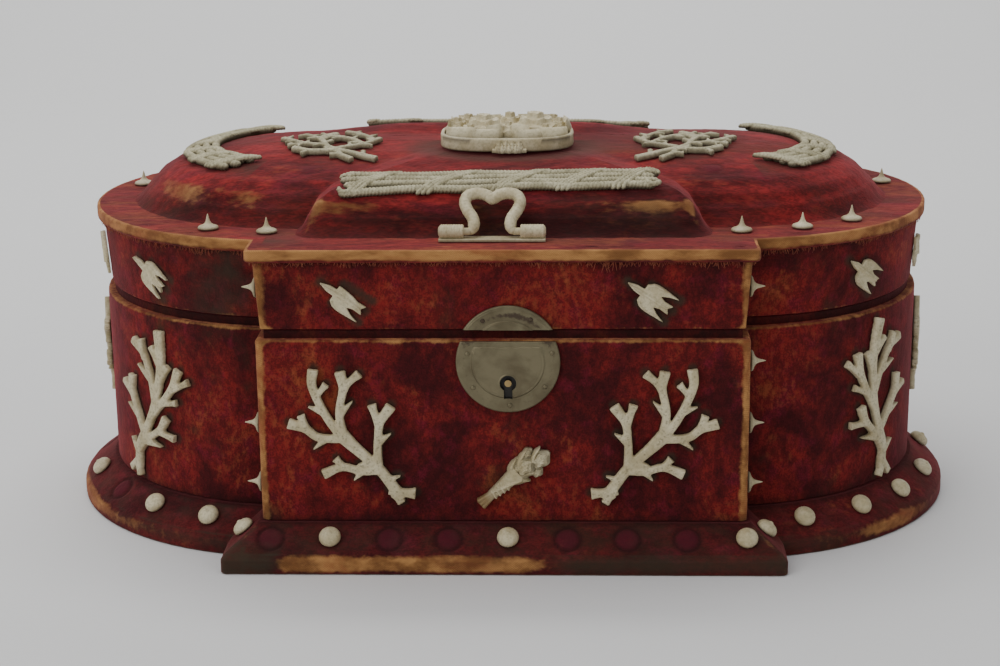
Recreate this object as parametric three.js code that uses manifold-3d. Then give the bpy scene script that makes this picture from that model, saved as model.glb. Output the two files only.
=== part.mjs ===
// Velvet-covered wooden sewing box with carved bone mounts, a round-ended plan and a block standing
// forward in the middle of its front. Millimetres, +Z up, -Y is the front.
// The origin is on the floor, under the axis on which the centres of both round ends lie.

import * as THREE from 'three';
import { mergeVertices } from 'three/addons/utils/BufferGeometryUtils.js';
import Module from 'manifold-3d';

const wasm = await Module();
wasm.setup();

// Fits between pieces
const GAP = 0.3;            // between pieces that lie on each other
const TURN_GAP = 0.4;       // round a turning pin
const SINK = 0.4;           // how far fused parts of one piece run into each other

// Plan of the box
const BOW_CENTRE_X = 81.6;      // centres of the round ends, left and right of the middle
const BODY_RADIUS = 84.1;       // of the round ends, and so half the depth behind
const BLOCK_HALF_WIDTH = 91.3;  // of the block that stands forward in front
const BLOCK_DEPTH = 100.9;      // from the axis of the round ends to the block's face
const BLOCK_CORNER = 2.5;       // radius of the block's upright edges
const BOW_STEPS = 12;
const CORNER_STEPS = 2;

// Plinth
const PLINTH_OVERHANG = 14.3;
const PLINTH_EDGE = 5.5;        // height of its upright edge
const PLINTH_HEIGHT = 16;
const PLINTH_SEAT = 1;          // level rim left round the foot of the walls
const PLINTH_SHOULDER_IN = 1.7; // the worn shoulder between the edge and the slope
const PLINTH_SHOULDER_UP = 1.9;

// Body
const WALL = 8;
const FLOOR = 5;
const BODY_TOP = 86.8;
const EDGE_ROUND = 1.2;         // rounding of the velvet over the edges
const LIP_SETBACK = 3;          // the raised inner lip stands behind the wall's face
const LID_BOTTOM = 90.2;

// Lid
const LID_WALL_TOP = 117;
const LID_TAPER = 2;            // the lid's walls draw in towards the joint
const BOARD_THICKNESS = 4.1;
const BOARD_OVERHANG = 2.5;
const BOARD_ROUND = 0.7;
const DOME_RADIUS = 64;
const DOME_HALF_WIDTH = 75;
const DOME_DEPTH = 81;
const DOME_CORNER = 9;
const DOME_WALL = 6;
const DOME_BEARING = 7;         // width of board under the dome's foot
const DOME_HEIGHT = 22.6;

// Height of the dome over its foot as a share of its full height, by the distance in from its outline
const DOME_RISE = [
  { inset: 0, share: 0 },
  { inset: 1.5, share: 0.235 },
  { inset: 4, share: 0.482 },
  { inset: 10, share: 0.673 },
  { inset: 22, share: 0.814 },
  { inset: 40, share: 0.947 },
  { inset: 58, share: 1 },
].map(({ inset, share }) => ({ inset, rise: share * DOME_HEIGHT }));

// Lock
const ARC_STEPS = 9;
const LOCK_X = 2.2;
const LOCK_Z = 78.6;
const LOCK_RADIUS = 19.2;
const LOCK_TOP_Z = 86.5;
const LOCK_PLATE = 1.2;
const LOCK_DISC_RADIUS = 13.6;
const LOCK_DISC_TOP_Z = 84.6;
const LOCK_DISC = 0.6;
const LOCK_CASE_HALF_WIDTH = 13;
const LOCK_CASE_BOTTOM_Z = 63;
const LOCK_CASE_TOP_Z = 83;
const LOCK_CASE_DEPTH = 6;
const KEYHOLE_Z = 70.8;
const KEYHOLE_RADIUS = 2.5;
const KEYHOLE_SLOT_WIDTH = 2.7;
const KEYHOLE_SLOT_Z = 65.3;
const KEYHOLE_DEPTH = 5;
const KEY_POST_RADIUS = 1.5;
const STRIKE_Z = 80.6;          // centre of the arc of the half plate on the lid

// Hinges
const HINGE_X = 55;
const KNUCKLE_SIDES = 8;
const HINGE_LENGTH = 40;
const HINGE_LEAF = 1.2;
const HINGE_LEAF_HEIGHT = 12;
const KNUCKLE_RADIUS = 2.2;
const KNUCKLE_STAND = 3;        // from the wall's face to the hinge axis
const HINGE_PIN_RADIUS = 1;
const KNUCKLE_SHARE = 1 / 3;    // of the hinge's length, taken by the lid's knuckle

// Pull
const PULL_X = -3.6;
const PULL_STAND = 8;           // of the pull's axis in front of the dome's foot
const PULL_Y = -(DOME_DEPTH + PULL_STAND);
const PULL_STRIP = 1;
const PULL_STRIP_DEPTH = 6;
const BARREL_RADIUS = 2.65;
const BARREL_LENGTH = 9.4;
const BARREL_INNER_X = 10.4;    // from the middle of the pull to each barrel
const BAIL_PIN_RADIUS = 1.4;
const BAIL_PIN_LENGTH = 5.6;    // inside each barrel
const BAIL_RADIUS = 2.2;
const BAIL_HEIGHT = 15.8;         // from its pivot to the middle of its bar
const BAIL_HALF_WIDTH = 10.2;   // to the middle of its bar
const BAIL_LEAN = 50;           // degrees above level, leaning back on the dome

// Carved bone
const CORAL_THICKNESS = 2.4;
const CORAL_TWIG = 3.4;         // width of a branch
const FRONT_CORAL_HEIGHT = 52;
const FRONT_CORAL_X = 38;       // the outer foot of each front coral
const FRONT_CORAL_Z = 24;
const BOW_CORAL_HEIGHT = 66;
const BOW_CORAL_Z = 18.5;
const BOW_CORAL_ANGLE = 49.5;   // degrees round the bow, from the front
const BOW_CORAL_LEAN_LEFT = -10;    // degrees, clockwise seen from outside
const BOW_CORAL_LEAN_RIGHT = -2.5;
const END_CORAL_ANGLE = 88;
const END_CORAL_Z = 38;
const END_CORAL_HEIGHT = 42;
const BIRD_LENGTH = 19.6;
const BIRD_THICKNESS = 1.4;
const BIRD_TILT = -35;          // degrees, beak up to the left
const BIRD_Z = 103;
const FRONT_BIRD_X = [-58, 54];
const BOW_BIRD_ANGLE = 41;
const END_BIRD_ANGLE = 76;
const BOUQUET_LENGTH = 32;
const BOUQUET_X = -8.5;
const BOUQUET_Z = 23.5;
const BOUQUET_TILT = 41;
const BOUQUET_THICKNESS = 4.5;

// Ornaments on the dome
const BED_EXTRA = 0.2;          // extra stand of long ornaments over the dome's curve
const ROPE_END_INSET = 15;      // ends of the bundle, in from the side of the dome's block
const ROPE_HALF_LENGTH = DOME_HALF_WIDTH - ROPE_END_INSET;
const ROPE_X = -1.5;
const ROPE_INSET = 14.5;          // middle of the bundle, in from the dome's outline
const ROPE_WIDTH = 16.4;
const ROPE_THICKNESS = 2.8;
const ROPE_WRAPS = 5;
const ROPE_STATIONS = [-1, -0.93, -0.86, 0.86, 0.93, 1];   // shares of the half length
const KNOB_RADIUS = 2.9;
const WRAP_LEAN = 5;            // half the slant of a wrap, along the bundle
const WRAP_PROUD = 0.1;         // past the outer strands, as a share of half the width
const WRAP_WIDTH = 3.2;
const GARLAND_INNER = 36;       // radii about the centre of the round end
const GARLAND_OUTER = 51;
const GARLAND_SPAN = 57;        // degrees to each side
const GARLAND_THICKNESS = 2.4;
const GARLAND_STEPS = 8;
const GARLAND_TAPER = 0.25;     // narrowing towards the tips
const GARLAND_LEAVES = 6;
const LEAF_WIDTH = 3.6;
const LEAF_SLANT = 9;           // degrees
const TWIG_X = 69;
const TWIG_Y = -15;
const TWIG_LENGTH = 44;
const TWIG_THICKNESS = 2.6;
const TWIG_WIDTH = 3.6;
const MEDALLION_Y = -17;
const MEDALLION_HALF_WIDTH = 26.5;
const MEDALLION_HALF_DEPTH = 19.5;
const MEDALLION_SQUARENESS = 0.7;   // power that makes its oval squarer, 1 for a true oval
const MEDALLION_HEIGHT = 5.4;
const MEDALLION_RIM = 2;
const MEDALLION_RECESS = 1.6;
const ROSE_RADIUS = 8;
const ROSE_HEIGHT = 7;

// Studs
const STUD_SIDES = 7;
const SPIRE_RADIUS = 4;
const SPIRE_HEIGHT = 5.8;
const BEAD_RADIUS = 4.4;
const BEAD_HEIGHT = 4.2;
const LEDGE_STUD_OUT = 0.95;    // of the row of spires, out from the middle of the ledge
const LEDGE_STUDS_LEFT = [5.6, 24, 104];    // degrees round the bow, from the front
const LEDGE_STUDS_RIGHT = [5.6, 24, 42.4, 104];
const PLINTH_STUD_ALONG = [-64.8, 1.8, 90.6];
const PLINTH_STUD_LEFT = [21, 37.8, 71.5];
const PLINTH_STUD_RIGHT = [21, 37.8, 54, 71.5, 94.5];
const RETURN_STUD_Z_LEFT = [29, 52.5];
const RETURN_STUD_Z_RIGHT = [29, 52.5, 76.6];
const RETURN_LID_STUD_Z = 105;

// Derived places
const WALL_FOOT = PLINTH_HEIGHT + GAP;
const LIP_TOP = LID_BOTTOM - GAP;
const BOARD_BOTTOM = LID_WALL_TOP + GAP;
const BOARD_TOP = BOARD_BOTTOM + BOARD_THICKNESS;
const DOME_FOOT = BOARD_TOP + GAP;
const DOME_TOP = DOME_FOOT + DOME_RISE[DOME_RISE.length - 1].rise;
const PULL_PIVOT_Z = BOARD_TOP + GAP + PULL_STRIP + BARREL_RADIUS - SINK;
const HINGE_Y = BODY_RADIUS + KNUCKLE_STAND;
const HINGE_Z = (BODY_TOP + LID_BOTTOM) / 2;

const BODY_PLAN = {
  radius: BODY_RADIUS, halfWidth: BLOCK_HALF_WIDTH, depth: BLOCK_DEPTH, corner: BLOCK_CORNER,
};
const DOME_PLAN = {
  radius: DOME_RADIUS, halfWidth: DOME_HALF_WIDTH, depth: DOME_DEPTH, corner: DOME_CORNER,
};

// Materials
const velvet = new THREE.MeshStandardMaterial({ color: 0x6a1c17, roughness: 0.95, metalness: 0 });
const wornVelvet = new THREE.MeshStandardMaterial({ color: 0x7d2b1a, roughness: 0.95, metalness: 0 });
const bone = new THREE.MeshStandardMaterial({ color: 0xcabf9d, roughness: 0.5, metalness: 0 });
const dustyBone = new THREE.MeshStandardMaterial({ color: 0x9d957b, roughness: 0.7, metalness: 0 });
const nickel = new THREE.MeshStandardMaterial({ color: 0x8c8670, roughness: 0.4, metalness: 0.9 });
const brass = new THREE.MeshStandardMaterial({ color: 0x8a7440, roughness: 0.45, metalness: 0.9 });

// Basic tools

const radians = THREE.MathUtils.degToRad;

function toSolid(geometry) {
  const bare = geometry.clone();
  bare.deleteAttribute('normal');
  bare.deleteAttribute('uv');
  const merged = mergeVertices(bare, 1e-4);
  const vertProperties = new Float32Array(merged.attributes.position.array);
  const triVerts = new Uint32Array(merged.index.array);
  return new wasm.Manifold(new wasm.Mesh({ numProp: 3, vertProperties, triVerts }));
}

function toGeometry(solid) {
  const mesh = solid.getMesh();
  const geometry = new THREE.BufferGeometry();
  geometry.setAttribute('position', new THREE.BufferAttribute(new Float32Array(mesh.vertProperties), 3));
  geometry.setIndex(new THREE.BufferAttribute(new Uint32Array(mesh.triVerts), 1));
  geometry.computeVertexNormals();
  return geometry;
}

function join(geometries) {
  return geometries.map(toSolid).reduce((whole, part) => whole.add(part));
}

// Moves every vertex of a geometry drawn as (u along, v across, w out) to its place on a surface.
function lay(geometry, place) {
  const laid = geometry.clone();
  const points = laid.attributes.position;
  for (let i = 0; i < points.count; i++) {
    const p = place(points.getX(i), points.getY(i), points.getZ(i));
    points.setXYZ(i, p.x, p.y, p.z);
  }
  return laid;
}

// Skin through rings of equally many points, each ring counter-clockwise seen from above.
// Open rings get a cap at both ends; otherwise the last ring joins the first.
function loft(rings, closed = false) {
  const count = rings[0].length;
  const vertices = rings.flat().flatMap((p) => [p.x, p.y, p.z]);
  const faces = [];
  const bands = closed ? rings.length : rings.length - 1;
  for (let r = 0; r < bands; r++) {
    const low = r * count;
    const high = ((r + 1) % rings.length) * count;
    for (let i = 0; i < count; i++) {
      const next = (i + 1) % count;
      faces.push(low + i, low + next, high + next, low + i, high + next, high + i);
    }
  }
  if (!closed) {
    const last = (rings.length - 1) * count;
    for (const [a, b, c] of capFaces(rings[0])) faces.push(c, b, a);
    for (const [a, b, c] of capFaces(rings[rings.length - 1])) faces.push(last + a, last + b, last + c);
  }
  const geometry = new THREE.BufferGeometry();
  geometry.setAttribute('position', new THREE.Float32BufferAttribute(vertices, 3));
  geometry.setIndex(faces);
  return geometry;
}

function capFaces(ring) {
  const contour = ring.map((p) => new THREE.Vector2(p.x, p.y));
  return THREE.ShapeUtils.triangulateShape(contour, []);
}

// Outline of a plan seen from above, grown outwards by an offset: the right half runs from the block's
// front corner past the inner corner and round the bow to the middle of the back, the left half mirrors it.
// A plan that grows keeps the radius of its front corners, as the mitred boards of the box do.
function planRing(plan, offset, z) {
  const radius = plan.radius + offset;
  const halfWidth = plan.halfWidth + offset;
  const depth = plan.depth + offset;
  const corner = Math.max(plan.corner + Math.min(offset, 0), 0.5);
  const half = [];
  for (let i = 0; i <= CORNER_STEPS; i++) {
    const angle = (-Math.PI / 2) * (1 - i / CORNER_STEPS);
    half.push([halfWidth - corner * (1 - Math.cos(angle)), -depth + corner * (1 + Math.sin(angle))]);
  }
  const past = halfWidth - BOW_CENTRE_X;
  if (past > 0) {
    const start = -Math.acos(past / radius);
    half.push([halfWidth, radius * Math.sin(start)]);
    for (let i = 1; i <= BOW_STEPS + 1; i++) {
      const angle = start + ((Math.PI / 2 - start) * i) / (BOW_STEPS + 1);
      half.push([BOW_CENTRE_X + radius * Math.cos(angle), radius * Math.sin(angle)]);
    }
  } else {
    half.push([halfWidth, -radius]);
    for (let i = 0; i <= BOW_STEPS; i++) {
      const angle = -Math.PI / 2 + (Math.PI * i) / BOW_STEPS;
      half.push([BOW_CENTRE_X + radius * Math.cos(angle), radius * Math.sin(angle)]);
    }
  }
  const mirrored = half.map(([x, y]) => [-x, y]).reverse();
  return [...half, ...mirrored].map(([x, y]) => new THREE.Vector3(x, y, z));
}

// Surfaces that carry ornaments. Each returns a function from (u, v, w) to a point in space.

const lidInset = (z) => (LID_TAPER * (LID_WALL_TOP - z)) / (LID_WALL_TOP - LID_BOTTOM);

const onFront = (u, v, w) => new THREE.Vector3(u, -(BLOCK_DEPTH + GAP + w), v);

const onLidFront = (u, v, w) => new THREE.Vector3(u, -(BLOCK_DEPTH - lidInset(v) + GAP + w), v);

// Bent round a bow: u runs along the arc to the right as seen from outside, from a given angle.
function onBow(side, angleDegrees) {
  return (u, v, w) => {
    const angle = radians(angleDegrees) + (side * u) / BODY_RADIUS;
    const reach = BODY_RADIUS + GAP + w;
    return new THREE.Vector3(side * (BOW_CENTRE_X + reach * Math.sin(angle)), -reach * Math.cos(angle), v);
  };
}

// Flat against a bow of the lid, on the plane that touches it at a given angle.
function againstLidBow(side, angleDegrees) {
  const angle = radians(angleDegrees);
  const out = new THREE.Vector3(side * Math.sin(angle), -Math.cos(angle), 0);
  const along = new THREE.Vector3(Math.cos(angle), side * Math.sin(angle), 0);
  return (u, v, w) => {
    const reach = BODY_RADIUS - lidInset(v) + GAP + w;
    const point = new THREE.Vector3(side * BOW_CENTRE_X, 0, v);
    return point.addScaledVector(out, reach).addScaledVector(along, u);
  };
}

function domeInset(x, y) {
  const past = Math.max(Math.abs(x) - BOW_CENTRE_X, 0);
  const fromBow = DOME_RADIUS - Math.hypot(past, y);
  if (y > 0) return fromBow;
  return Math.max(fromBow, Math.min(DOME_HALF_WIDTH - Math.abs(x), DOME_DEPTH + y));
}

function domeZ(x, y) {
  const inset = THREE.MathUtils.clamp(domeInset(x, y), 0, DOME_RISE[DOME_RISE.length - 1].inset);
  const upper = Math.max(DOME_RISE.findIndex((step) => step.inset >= inset), 1);
  const a = DOME_RISE[upper - 1];
  const b = DOME_RISE[upper];
  return DOME_FOOT + a.rise + ((b.rise - a.rise) * (inset - a.inset)) / (b.inset - a.inset);
}

const onDome = (u, v, w) => new THREE.Vector3(u, v, domeZ(u, v) + GAP + w);

// Carving tools. A stroke is one twig of a relief: a bar of one section through stations
// of [u, v, width], bent with the surface that carries it. Sections are in shares of width and thickness.

const FLAT_SECTION = [[-0.5, 0], [-0.5, 1], [0.5, 1], [0.5, 0]];
const RIDGE_SECTION = [[-0.5, 0], [0, 1], [0.5, 0]];
const ROUND_SECTION = [[-0.5, 0], [-0.3, 1], [0.3, 1], [0.5, 0]];
const KNEE_SHARE = 0.55;        // of half a bundle's width: where the dome bends under it
const BEDDED_SECTION = [...ROUND_SECTION, [KNEE_SHARE / 2, 0], [0, 0], [-KNEE_SHARE / 2, 0]];

function stroke(stations, thickness, place, section = FLAT_SECTION) {
  const rings = stations.map(([u, v, width], i) => {
    const before = stations[Math.max(i - 1, 0)];
    const after = stations[Math.min(i + 1, stations.length - 1)];
    const run = new THREE.Vector2(after[0] - before[0], after[1] - before[1]).normalize();
    return section.map(([s, h]) => place(u - run.y * width * s, v + run.x * width * s, h * thickness));
  });
  return barThrough(rings, section);
}

// Closed bar through copies of one section, which runs from its right foot over the top to its left foot.
function barThrough(rings, section) {
  const count = section.length;
  const vertices = rings.flat().flatMap((p) => [p.x, p.y, p.z]);
  const faces = [];
  for (let r = 0; r < rings.length - 1; r++) {
    for (let i = 0; i < count; i++) {
      const a = r * count + i;
      const b = r * count + ((i + 1) % count);
      faces.push(a, b + count, b, a, a + count, b + count);
    }
  }
  const last = (rings.length - 1) * count;
  const outline = section.map(([s, h]) => new THREE.Vector2(s, h));
  for (const [a, b, c] of THREE.ShapeUtils.triangulateShape(outline, [])) {
    const turnsLeft = (outline[b].x - outline[a].x) * (outline[c].y - outline[a].y)
      > (outline[c].x - outline[a].x) * (outline[b].y - outline[a].y);
    if (turnsLeft) faces.push(a, c, b, last + a, last + b, last + c);
    else faces.push(a, b, c, last + a, last + c, last + b);
  }
  const geometry = new THREE.BufferGeometry();
  geometry.setAttribute('position', new THREE.Float32BufferAttribute(vertices, 3));
  geometry.setIndex(faces);
  return geometry;
}

// Rounded boss standing on the surface.
function boss(u, v, radius, height, place, sides = 6) {
  const profile = [[0, 0], [radius, 0], [0.72 * radius, 0.8 * height], [0, height]];
  const geometry = new THREE.LatheGeometry(profile.map(([r, h]) => new THREE.Vector2(r, h)), sides);
  geometry.rotateX(Math.PI / 2);
  geometry.translate(u, v, 0);
  return lay(geometry, place);
}

// Open rose: a lobed cup, one lobe to a petal, with a bud in it.
function rose(u, v, radius, height, place, petals = 5) {
  const cup = [[1, 0], [0.9, 0.72], [0.5, 0.6]].map(([reach, rise]) => {
    const ring = [];
    for (let i = 0; i < 2 * petals; i++) {
      const angle = (Math.PI * i) / petals;
      const lobe = radius * reach * (i % 2 ? 0.74 : 1);
      ring.push(new THREE.Vector3(u + lobe * Math.cos(angle), v + lobe * Math.sin(angle), height * rise));
    }
    return ring;
  });
  return [lay(loft(cup), place), boss(u, v, radius * 0.42, height, place, 5)];
}

// Pointed leaf from one point to another.
function leaf(from, to, width, thickness, place) {
  const middle = [(from[0] + to[0]) / 2, (from[1] + to[1]) / 2];
  const stations = [[...from, width * 0.35], [...middle, width], [...to, width * 0.15]];
  return stroke(stations, thickness, place, RIDGE_SECTION);
}

// Corals. Points are shares of the coral's height, from its foot; each line is one branch.

const FRONT_CORAL_BRANCHES = [
  [[0, 0], [-0.05, 0.07]],
  [[-0.09, 0.1], [0.1, 0.07]],
  [[0, 0.04], [-0.17, 0.27], [-0.31, 0.4], [-0.41, 0.5]],
  [[-0.17, 0.25], [-0.16, 0.49], [-0.14, 0.61], [-0.06, 0.72]],
  [[-0.15, 0.57], [-0.2, 0.73]],
  [[-0.16, 0.47], [-0.09, 0.5]],
  [[-0.4, 0.49], [-0.43, 0.71], [-0.4, 0.87], [-0.42, 0.98]],
  [[-0.41, 0.84], [-0.28, 0.97]],
  [[-0.43, 0.68], [-0.35, 0.75]],
  [[-0.39, 0.48], [-0.5, 0.63], [-0.58, 0.75], [-0.62, 0.9], [-0.61, 1]],
  [[-0.6, 0.79], [-0.52, 0.88]],
  [[-0.55, 0.7], [-0.63, 0.71]],
  [[-0.38, 0.49], [-0.59, 0.48], [-0.68, 0.56], [-0.8, 0.6]],
  [[-0.66, 0.54], [-0.71, 0.65]],
  [[-0.54, 0.48], [-0.61, 0.42]],
  [[-0.17, 0.26], [-0.28, 0.24], [-0.44, 0.27], [-0.56, 0.22]],
  [[-0.4, 0.26], [-0.47, 0.33]],
  [[-0.27, 0.25], [-0.33, 0.19]],
];

const BOW_CORAL_BRANCHES = [
  [[-0.01, 0], [0.02, 0.08]],
  [[0.09, 0.01], [0.01, 0.1]],
  [[0.01, 0.07], [0.01, 0.2], [-0.06, 0.35], [-0.11, 0.5], [-0.14, 0.7], [-0.13, 0.84], [-0.1, 0.97]],
  [[-0.13, 0.78], [-0.05, 0.86]],
  [[-0.14, 0.68], [-0.2, 0.78]],
  [[-0.12, 0.56], [-0.04, 0.72], [0.02, 0.8], [0.13, 0.84]],
  [[0, 0.78], [0.05, 0.87]],
  [[-0.06, 0.68], [0.04, 0.71]],
  [[-0.03, 0.3], [0.06, 0.43], [0.12, 0.52], [0.13, 0.61]],
  [[0.11, 0.5], [0.22, 0.54]],
  [[0.03, 0.4], [0.13, 0.42]],
  [[-0.09, 0.44], [-0.19, 0.57], [-0.25, 0.68], [-0.28, 0.79]],
  [[-0.24, 0.65], [-0.36, 0.74]],
  [[-0.17, 0.54], [-0.29, 0.59]],
  [[0.01, 0.18], [-0.1, 0.3], [-0.18, 0.38], [-0.22, 0.46]],
  [[-0.17, 0.37], [-0.3, 0.36]],
  [[-0.07, 0.26], [-0.18, 0.27]],
];

function coral(branches, height, hand, place) {
  const twigs = branches.map((branch) => {
    const stations = branch.map(([u, v], i) => {
      const thin = i === branch.length - 1 ? 0.75 : 1;
      const width = CORAL_TWIG * (branch.length > 2 ? 1.1 : 0.9) * thin;
      return [hand * u * height, v * height, width];
    });
    return stroke(stations, CORAL_THICKNESS, flat);
  });
  return lay(toGeometry(join(twigs)), place);
}

const flat = (u, v, w) => new THREE.Vector3(u, v, w);

const shifted = (place, du, dv, dw = 0) => (u, v, w) => place(u + du, v + dv, w + dw);

// Turns the drawing of a relief by an angle before it is laid.
function turned(place, degrees, du, dv) {
  const cos = Math.cos(radians(degrees));
  const sin = Math.sin(radians(degrees));
  return (u, v, w) => place(du + u * cos - v * sin, dv + u * sin + v * cos, w);
}

// Swallow with swept wings, seen from above, beak to the left. Half outline in shares of its length.
const BIRD_HALF = [[0, 0.008], [0.1, 0.03], [0.2, 0.075], [0.37, 0.095], [0.34, 0.205],
  [0.62, 0.25], [1.02, 0.27], [0.77, 0.13], [1.05, 0.085]];

const BIRD_STUMP = 0.17;        // half width left where a wing is broken off
const BIRD_BODY = [[0.04, 0.05], [0.3, 0.15], [1, 0.08]];   // distance along and width of the raised body

function bird(place, wholeWing = true) {
  const broken = BIRD_HALF.filter(([a]) => a < 1 || a === BIRD_HALF[BIRD_HALF.length - 1][0])
    .map(([a, s]) => [a, Math.min(s, BIRD_STUMP)]);
  const upper = wholeWing ? BIRD_HALF : broken;
  const lower = BIRD_HALF.map(([a, s]) => [a, -s]).reverse();
  const toDrawing = ([a, s]) => new THREE.Vector2((a - 0.5) * BIRD_LENGTH, s * BIRD_LENGTH);
  const shape = new THREE.Shape([...upper, ...lower].map(toDrawing));
  const plate = new THREE.ExtrudeGeometry(shape, { depth: BIRD_THICKNESS, bevelEnabled: false });
  const stations = BIRD_BODY.map(([a, width]) => [(a - 0.5) * BIRD_LENGTH, 0, width * BIRD_LENGTH]);
  const back = stroke(stations, BIRD_THICKNESS * 1.8, flat, RIDGE_SECTION);
  return lay(toGeometry(join([plate, back])), place);
}

// Posy in a paper cone: stalk end, wrap, roses and leaves, drawn along +u.
function bouquet(place) {
  const l = BOUQUET_LENGTH;
  const t = BOUQUET_THICKNESS;
  return toGeometry(join([
    stroke([[0, 0, 0.12 * l], [0.22 * l, 0, 0.15 * l]], 0.6 * t, place),
    stroke([[0.18 * l, 0, 0.16 * l], [0.4 * l, 0, 0.25 * l], [0.6 * l, 0, 0.3 * l]], 0.8 * t, place),
    leaf([0.45 * l, -0.08 * l], [0.66 * l, -0.3 * l], 0.16 * l, 0.6 * t, place),
    leaf([0.6 * l, -0.06 * l], [0.82 * l, -0.28 * l], 0.15 * l, 0.6 * t, place),
    leaf([0.5 * l, 0.05 * l], [0.72 * l, 0.27 * l], 0.16 * l, 0.7 * t, place),
    leaf([0.62 * l, 0.05 * l], [0.92 * l, 0.22 * l], 0.17 * l, 0.8 * t, place),
    ...rose(0.72 * l, 0.02 * l, 0.14 * l, 1.1 * t, place),
    ...rose(0.92 * l, -0.05 * l, 0.12 * l, t, place),
  ]));
}

// Bundle of strands lying along the dome's edge, bound by slanting wraps, with a knob at each end.
function ropeBundle(side) {
  const edge = side < 0 ? -DOME_DEPTH : DOME_RADIUS;
  const place = shifted(onDome, ROPE_X, edge - side * ROPE_INSET, BED_EXTRA);
  const overPlace = shifted(place, 0, 0, SINK);
  const reach = ROPE_WIDTH / 2;
  const stations = ROPE_STATIONS.map((share) => [share * ROPE_HALF_LENGTH, 0, ROPE_WIDTH]);
  const parts = [stroke(stations, ROPE_THICKNESS, place, BEDDED_SECTION)];
  for (let i = 0; i < ROPE_WRAPS; i++) {
    const u = ((i + 0.5) / ROPE_WRAPS - 0.5) * 2 * (ROPE_HALF_LENGTH - WRAP_LEAN);
    const line = [-1 - WRAP_PROUD, -KNEE_SHARE, 0, KNEE_SHARE, 1 + WRAP_PROUD].map((share) => [
      u - side * share * WRAP_LEAN, share * reach, WRAP_WIDTH]);
    parts.push(stroke(line, ROPE_THICKNESS * 1.25, overPlace, RIDGE_SECTION));
  }
  for (const end of [-1, 1]) {
    for (const row of [-1, 1]) {
      const u = end * (ROPE_HALF_LENGTH - KNOB_RADIUS / 3);
      parts.push(boss(u, row * (reach - KNOB_RADIUS), KNOB_RADIUS, ROPE_THICKNESS * 1.2, overPlace));
    }
  }
  return toGeometry(join(parts));
}

// Crescent of strands that follows the round end of the dome, with slanting leaves across it.
// In its drawing u is an angle about the centre of the round end and v a radius.
function garland(side) {
  const width = GARLAND_OUTER - GARLAND_INNER;
  const middle = (GARLAND_OUTER + GARLAND_INNER) / 2;
  const place = (u, v, w) => {
    const x = side * (BOW_CENTRE_X + v * Math.cos(u));
    return onDome(x, -side * v * Math.sin(u), w + BED_EXTRA);
  };
  const span = radians(GARLAND_SPAN);
  const section = ROUND_SECTION;
  const rings = [];
  for (let i = 0; i <= GARLAND_STEPS; i++) {
    const u = span * ((2 * i) / GARLAND_STEPS - 1);
    const taper = 1 - GARLAND_TAPER * (u / span) ** 2;
    rings.push(section.map(([s, h]) => place(u, middle + s * width * taper, h * GARLAND_THICKNESS)));
  }
  const parts = [barThrough(rings, section)];
  const half = LEAF_WIDTH / 2 / middle;
  for (let i = 0; i < GARLAND_LEAVES; i++) {
    const share = (i + 0.5) / GARLAND_LEAVES - 0.5;
    const slant = Math.sign(share) * radians(LEAF_SLANT);
    const centre = 2 * span * share * 0.85;
    const across = [0, 0.5, 1].map((along) => {
      const u = centre + slant * (2 * along - 1);
      const v = GARLAND_INNER + width * along;
      return RIDGE_SECTION.map(([s, h]) => place(u - 2 * half * s, v, h * GARLAND_THICKNESS * 1.3));
    });
    parts.push(barThrough(across, RIDGE_SECTION));
  }
  return toGeometry(join(parts));
}

// Crossed coral twigs on the top of the dome, in shares of their length.
const TWIG_BRANCHES = [
  [[-0.42, -0.5], [-0.2, -0.36], [0.02, -0.22], [0.1, -0.02], [0.14, 0.14], [0.02, 0.32]],
  [[-0.2, -0.52], [-0.02, -0.3], [0.2, -0.3], [0.36, -0.22]],
  [[0.06, -0.12], [0.28, -0.05], [0.5, 0.16]],
  [[0.22, -0.08], [0.42, -0.14]],
  [[0.12, 0.06], [0.3, 0.26]],
  [[-0.04, -0.24], [-0.28, -0.08], [-0.4, 0.12]],
  [[-0.26, -0.1], [-0.14, 0.08], [0.04, 0.18], [0.12, 0.08]],
  [[-0.36, 0.04], [-0.2, 0.3], [-0.06, 0.42]],
];

function twigs(side) {
  const place = shifted(onDome, side * TWIG_X, TWIG_Y);
  const parts = TWIG_BRANCHES.map((branch) => {
    const stations = branch.map(([u, v]) => [side * u * TWIG_LENGTH, v * TWIG_LENGTH, TWIG_WIDTH]);
    return stroke(stations, TWIG_THICKNESS, flat, ROUND_SECTION);
  });
  return lay(toGeometry(join(parts)), place);
}

// What fills the medallion, in shares of its half width and half depth: where each leaf starts and ends,
// its width and thickness; and the places of the small flowers.
const MEDALLION_LEAVES = [
  { from: [-0.9, -0.2], to: [-0.12, -0.7], width: 7, thickness: 4.6 },
  { from: [0.87, -0.2], to: [0.15, -0.7], width: 7, thickness: 4.6 },
  { from: [-0.38, -0.77], to: [-0.83, -0.46], width: 5, thickness: 3.6 },
  { from: [0.42, -0.77], to: [0.83, -0.46], width: 5, thickness: 3.6 },
  { from: [-0.15, 0.62], to: [-0.75, 0.56], width: 6, thickness: 4.4 },
  { from: [0.15, 0.62], to: [0.75, 0.56], width: 6, thickness: 4.4 },
];
const MEDALLION_FLOWERS = [[-0.77, 0.05], [0.79, 0.1], [0, -0.23], [0.04, 0.36]];
const MEDALLION_FLOWER_RADIUS = 3.6;
const MEDALLION_ROSES = [[-0.4, 0.05], [0.43, 0.1]];
const SCROLL_X = 1;
const SCROLL_STEP = 4.2;
const SCROLL_RADIUS = 3;

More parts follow.
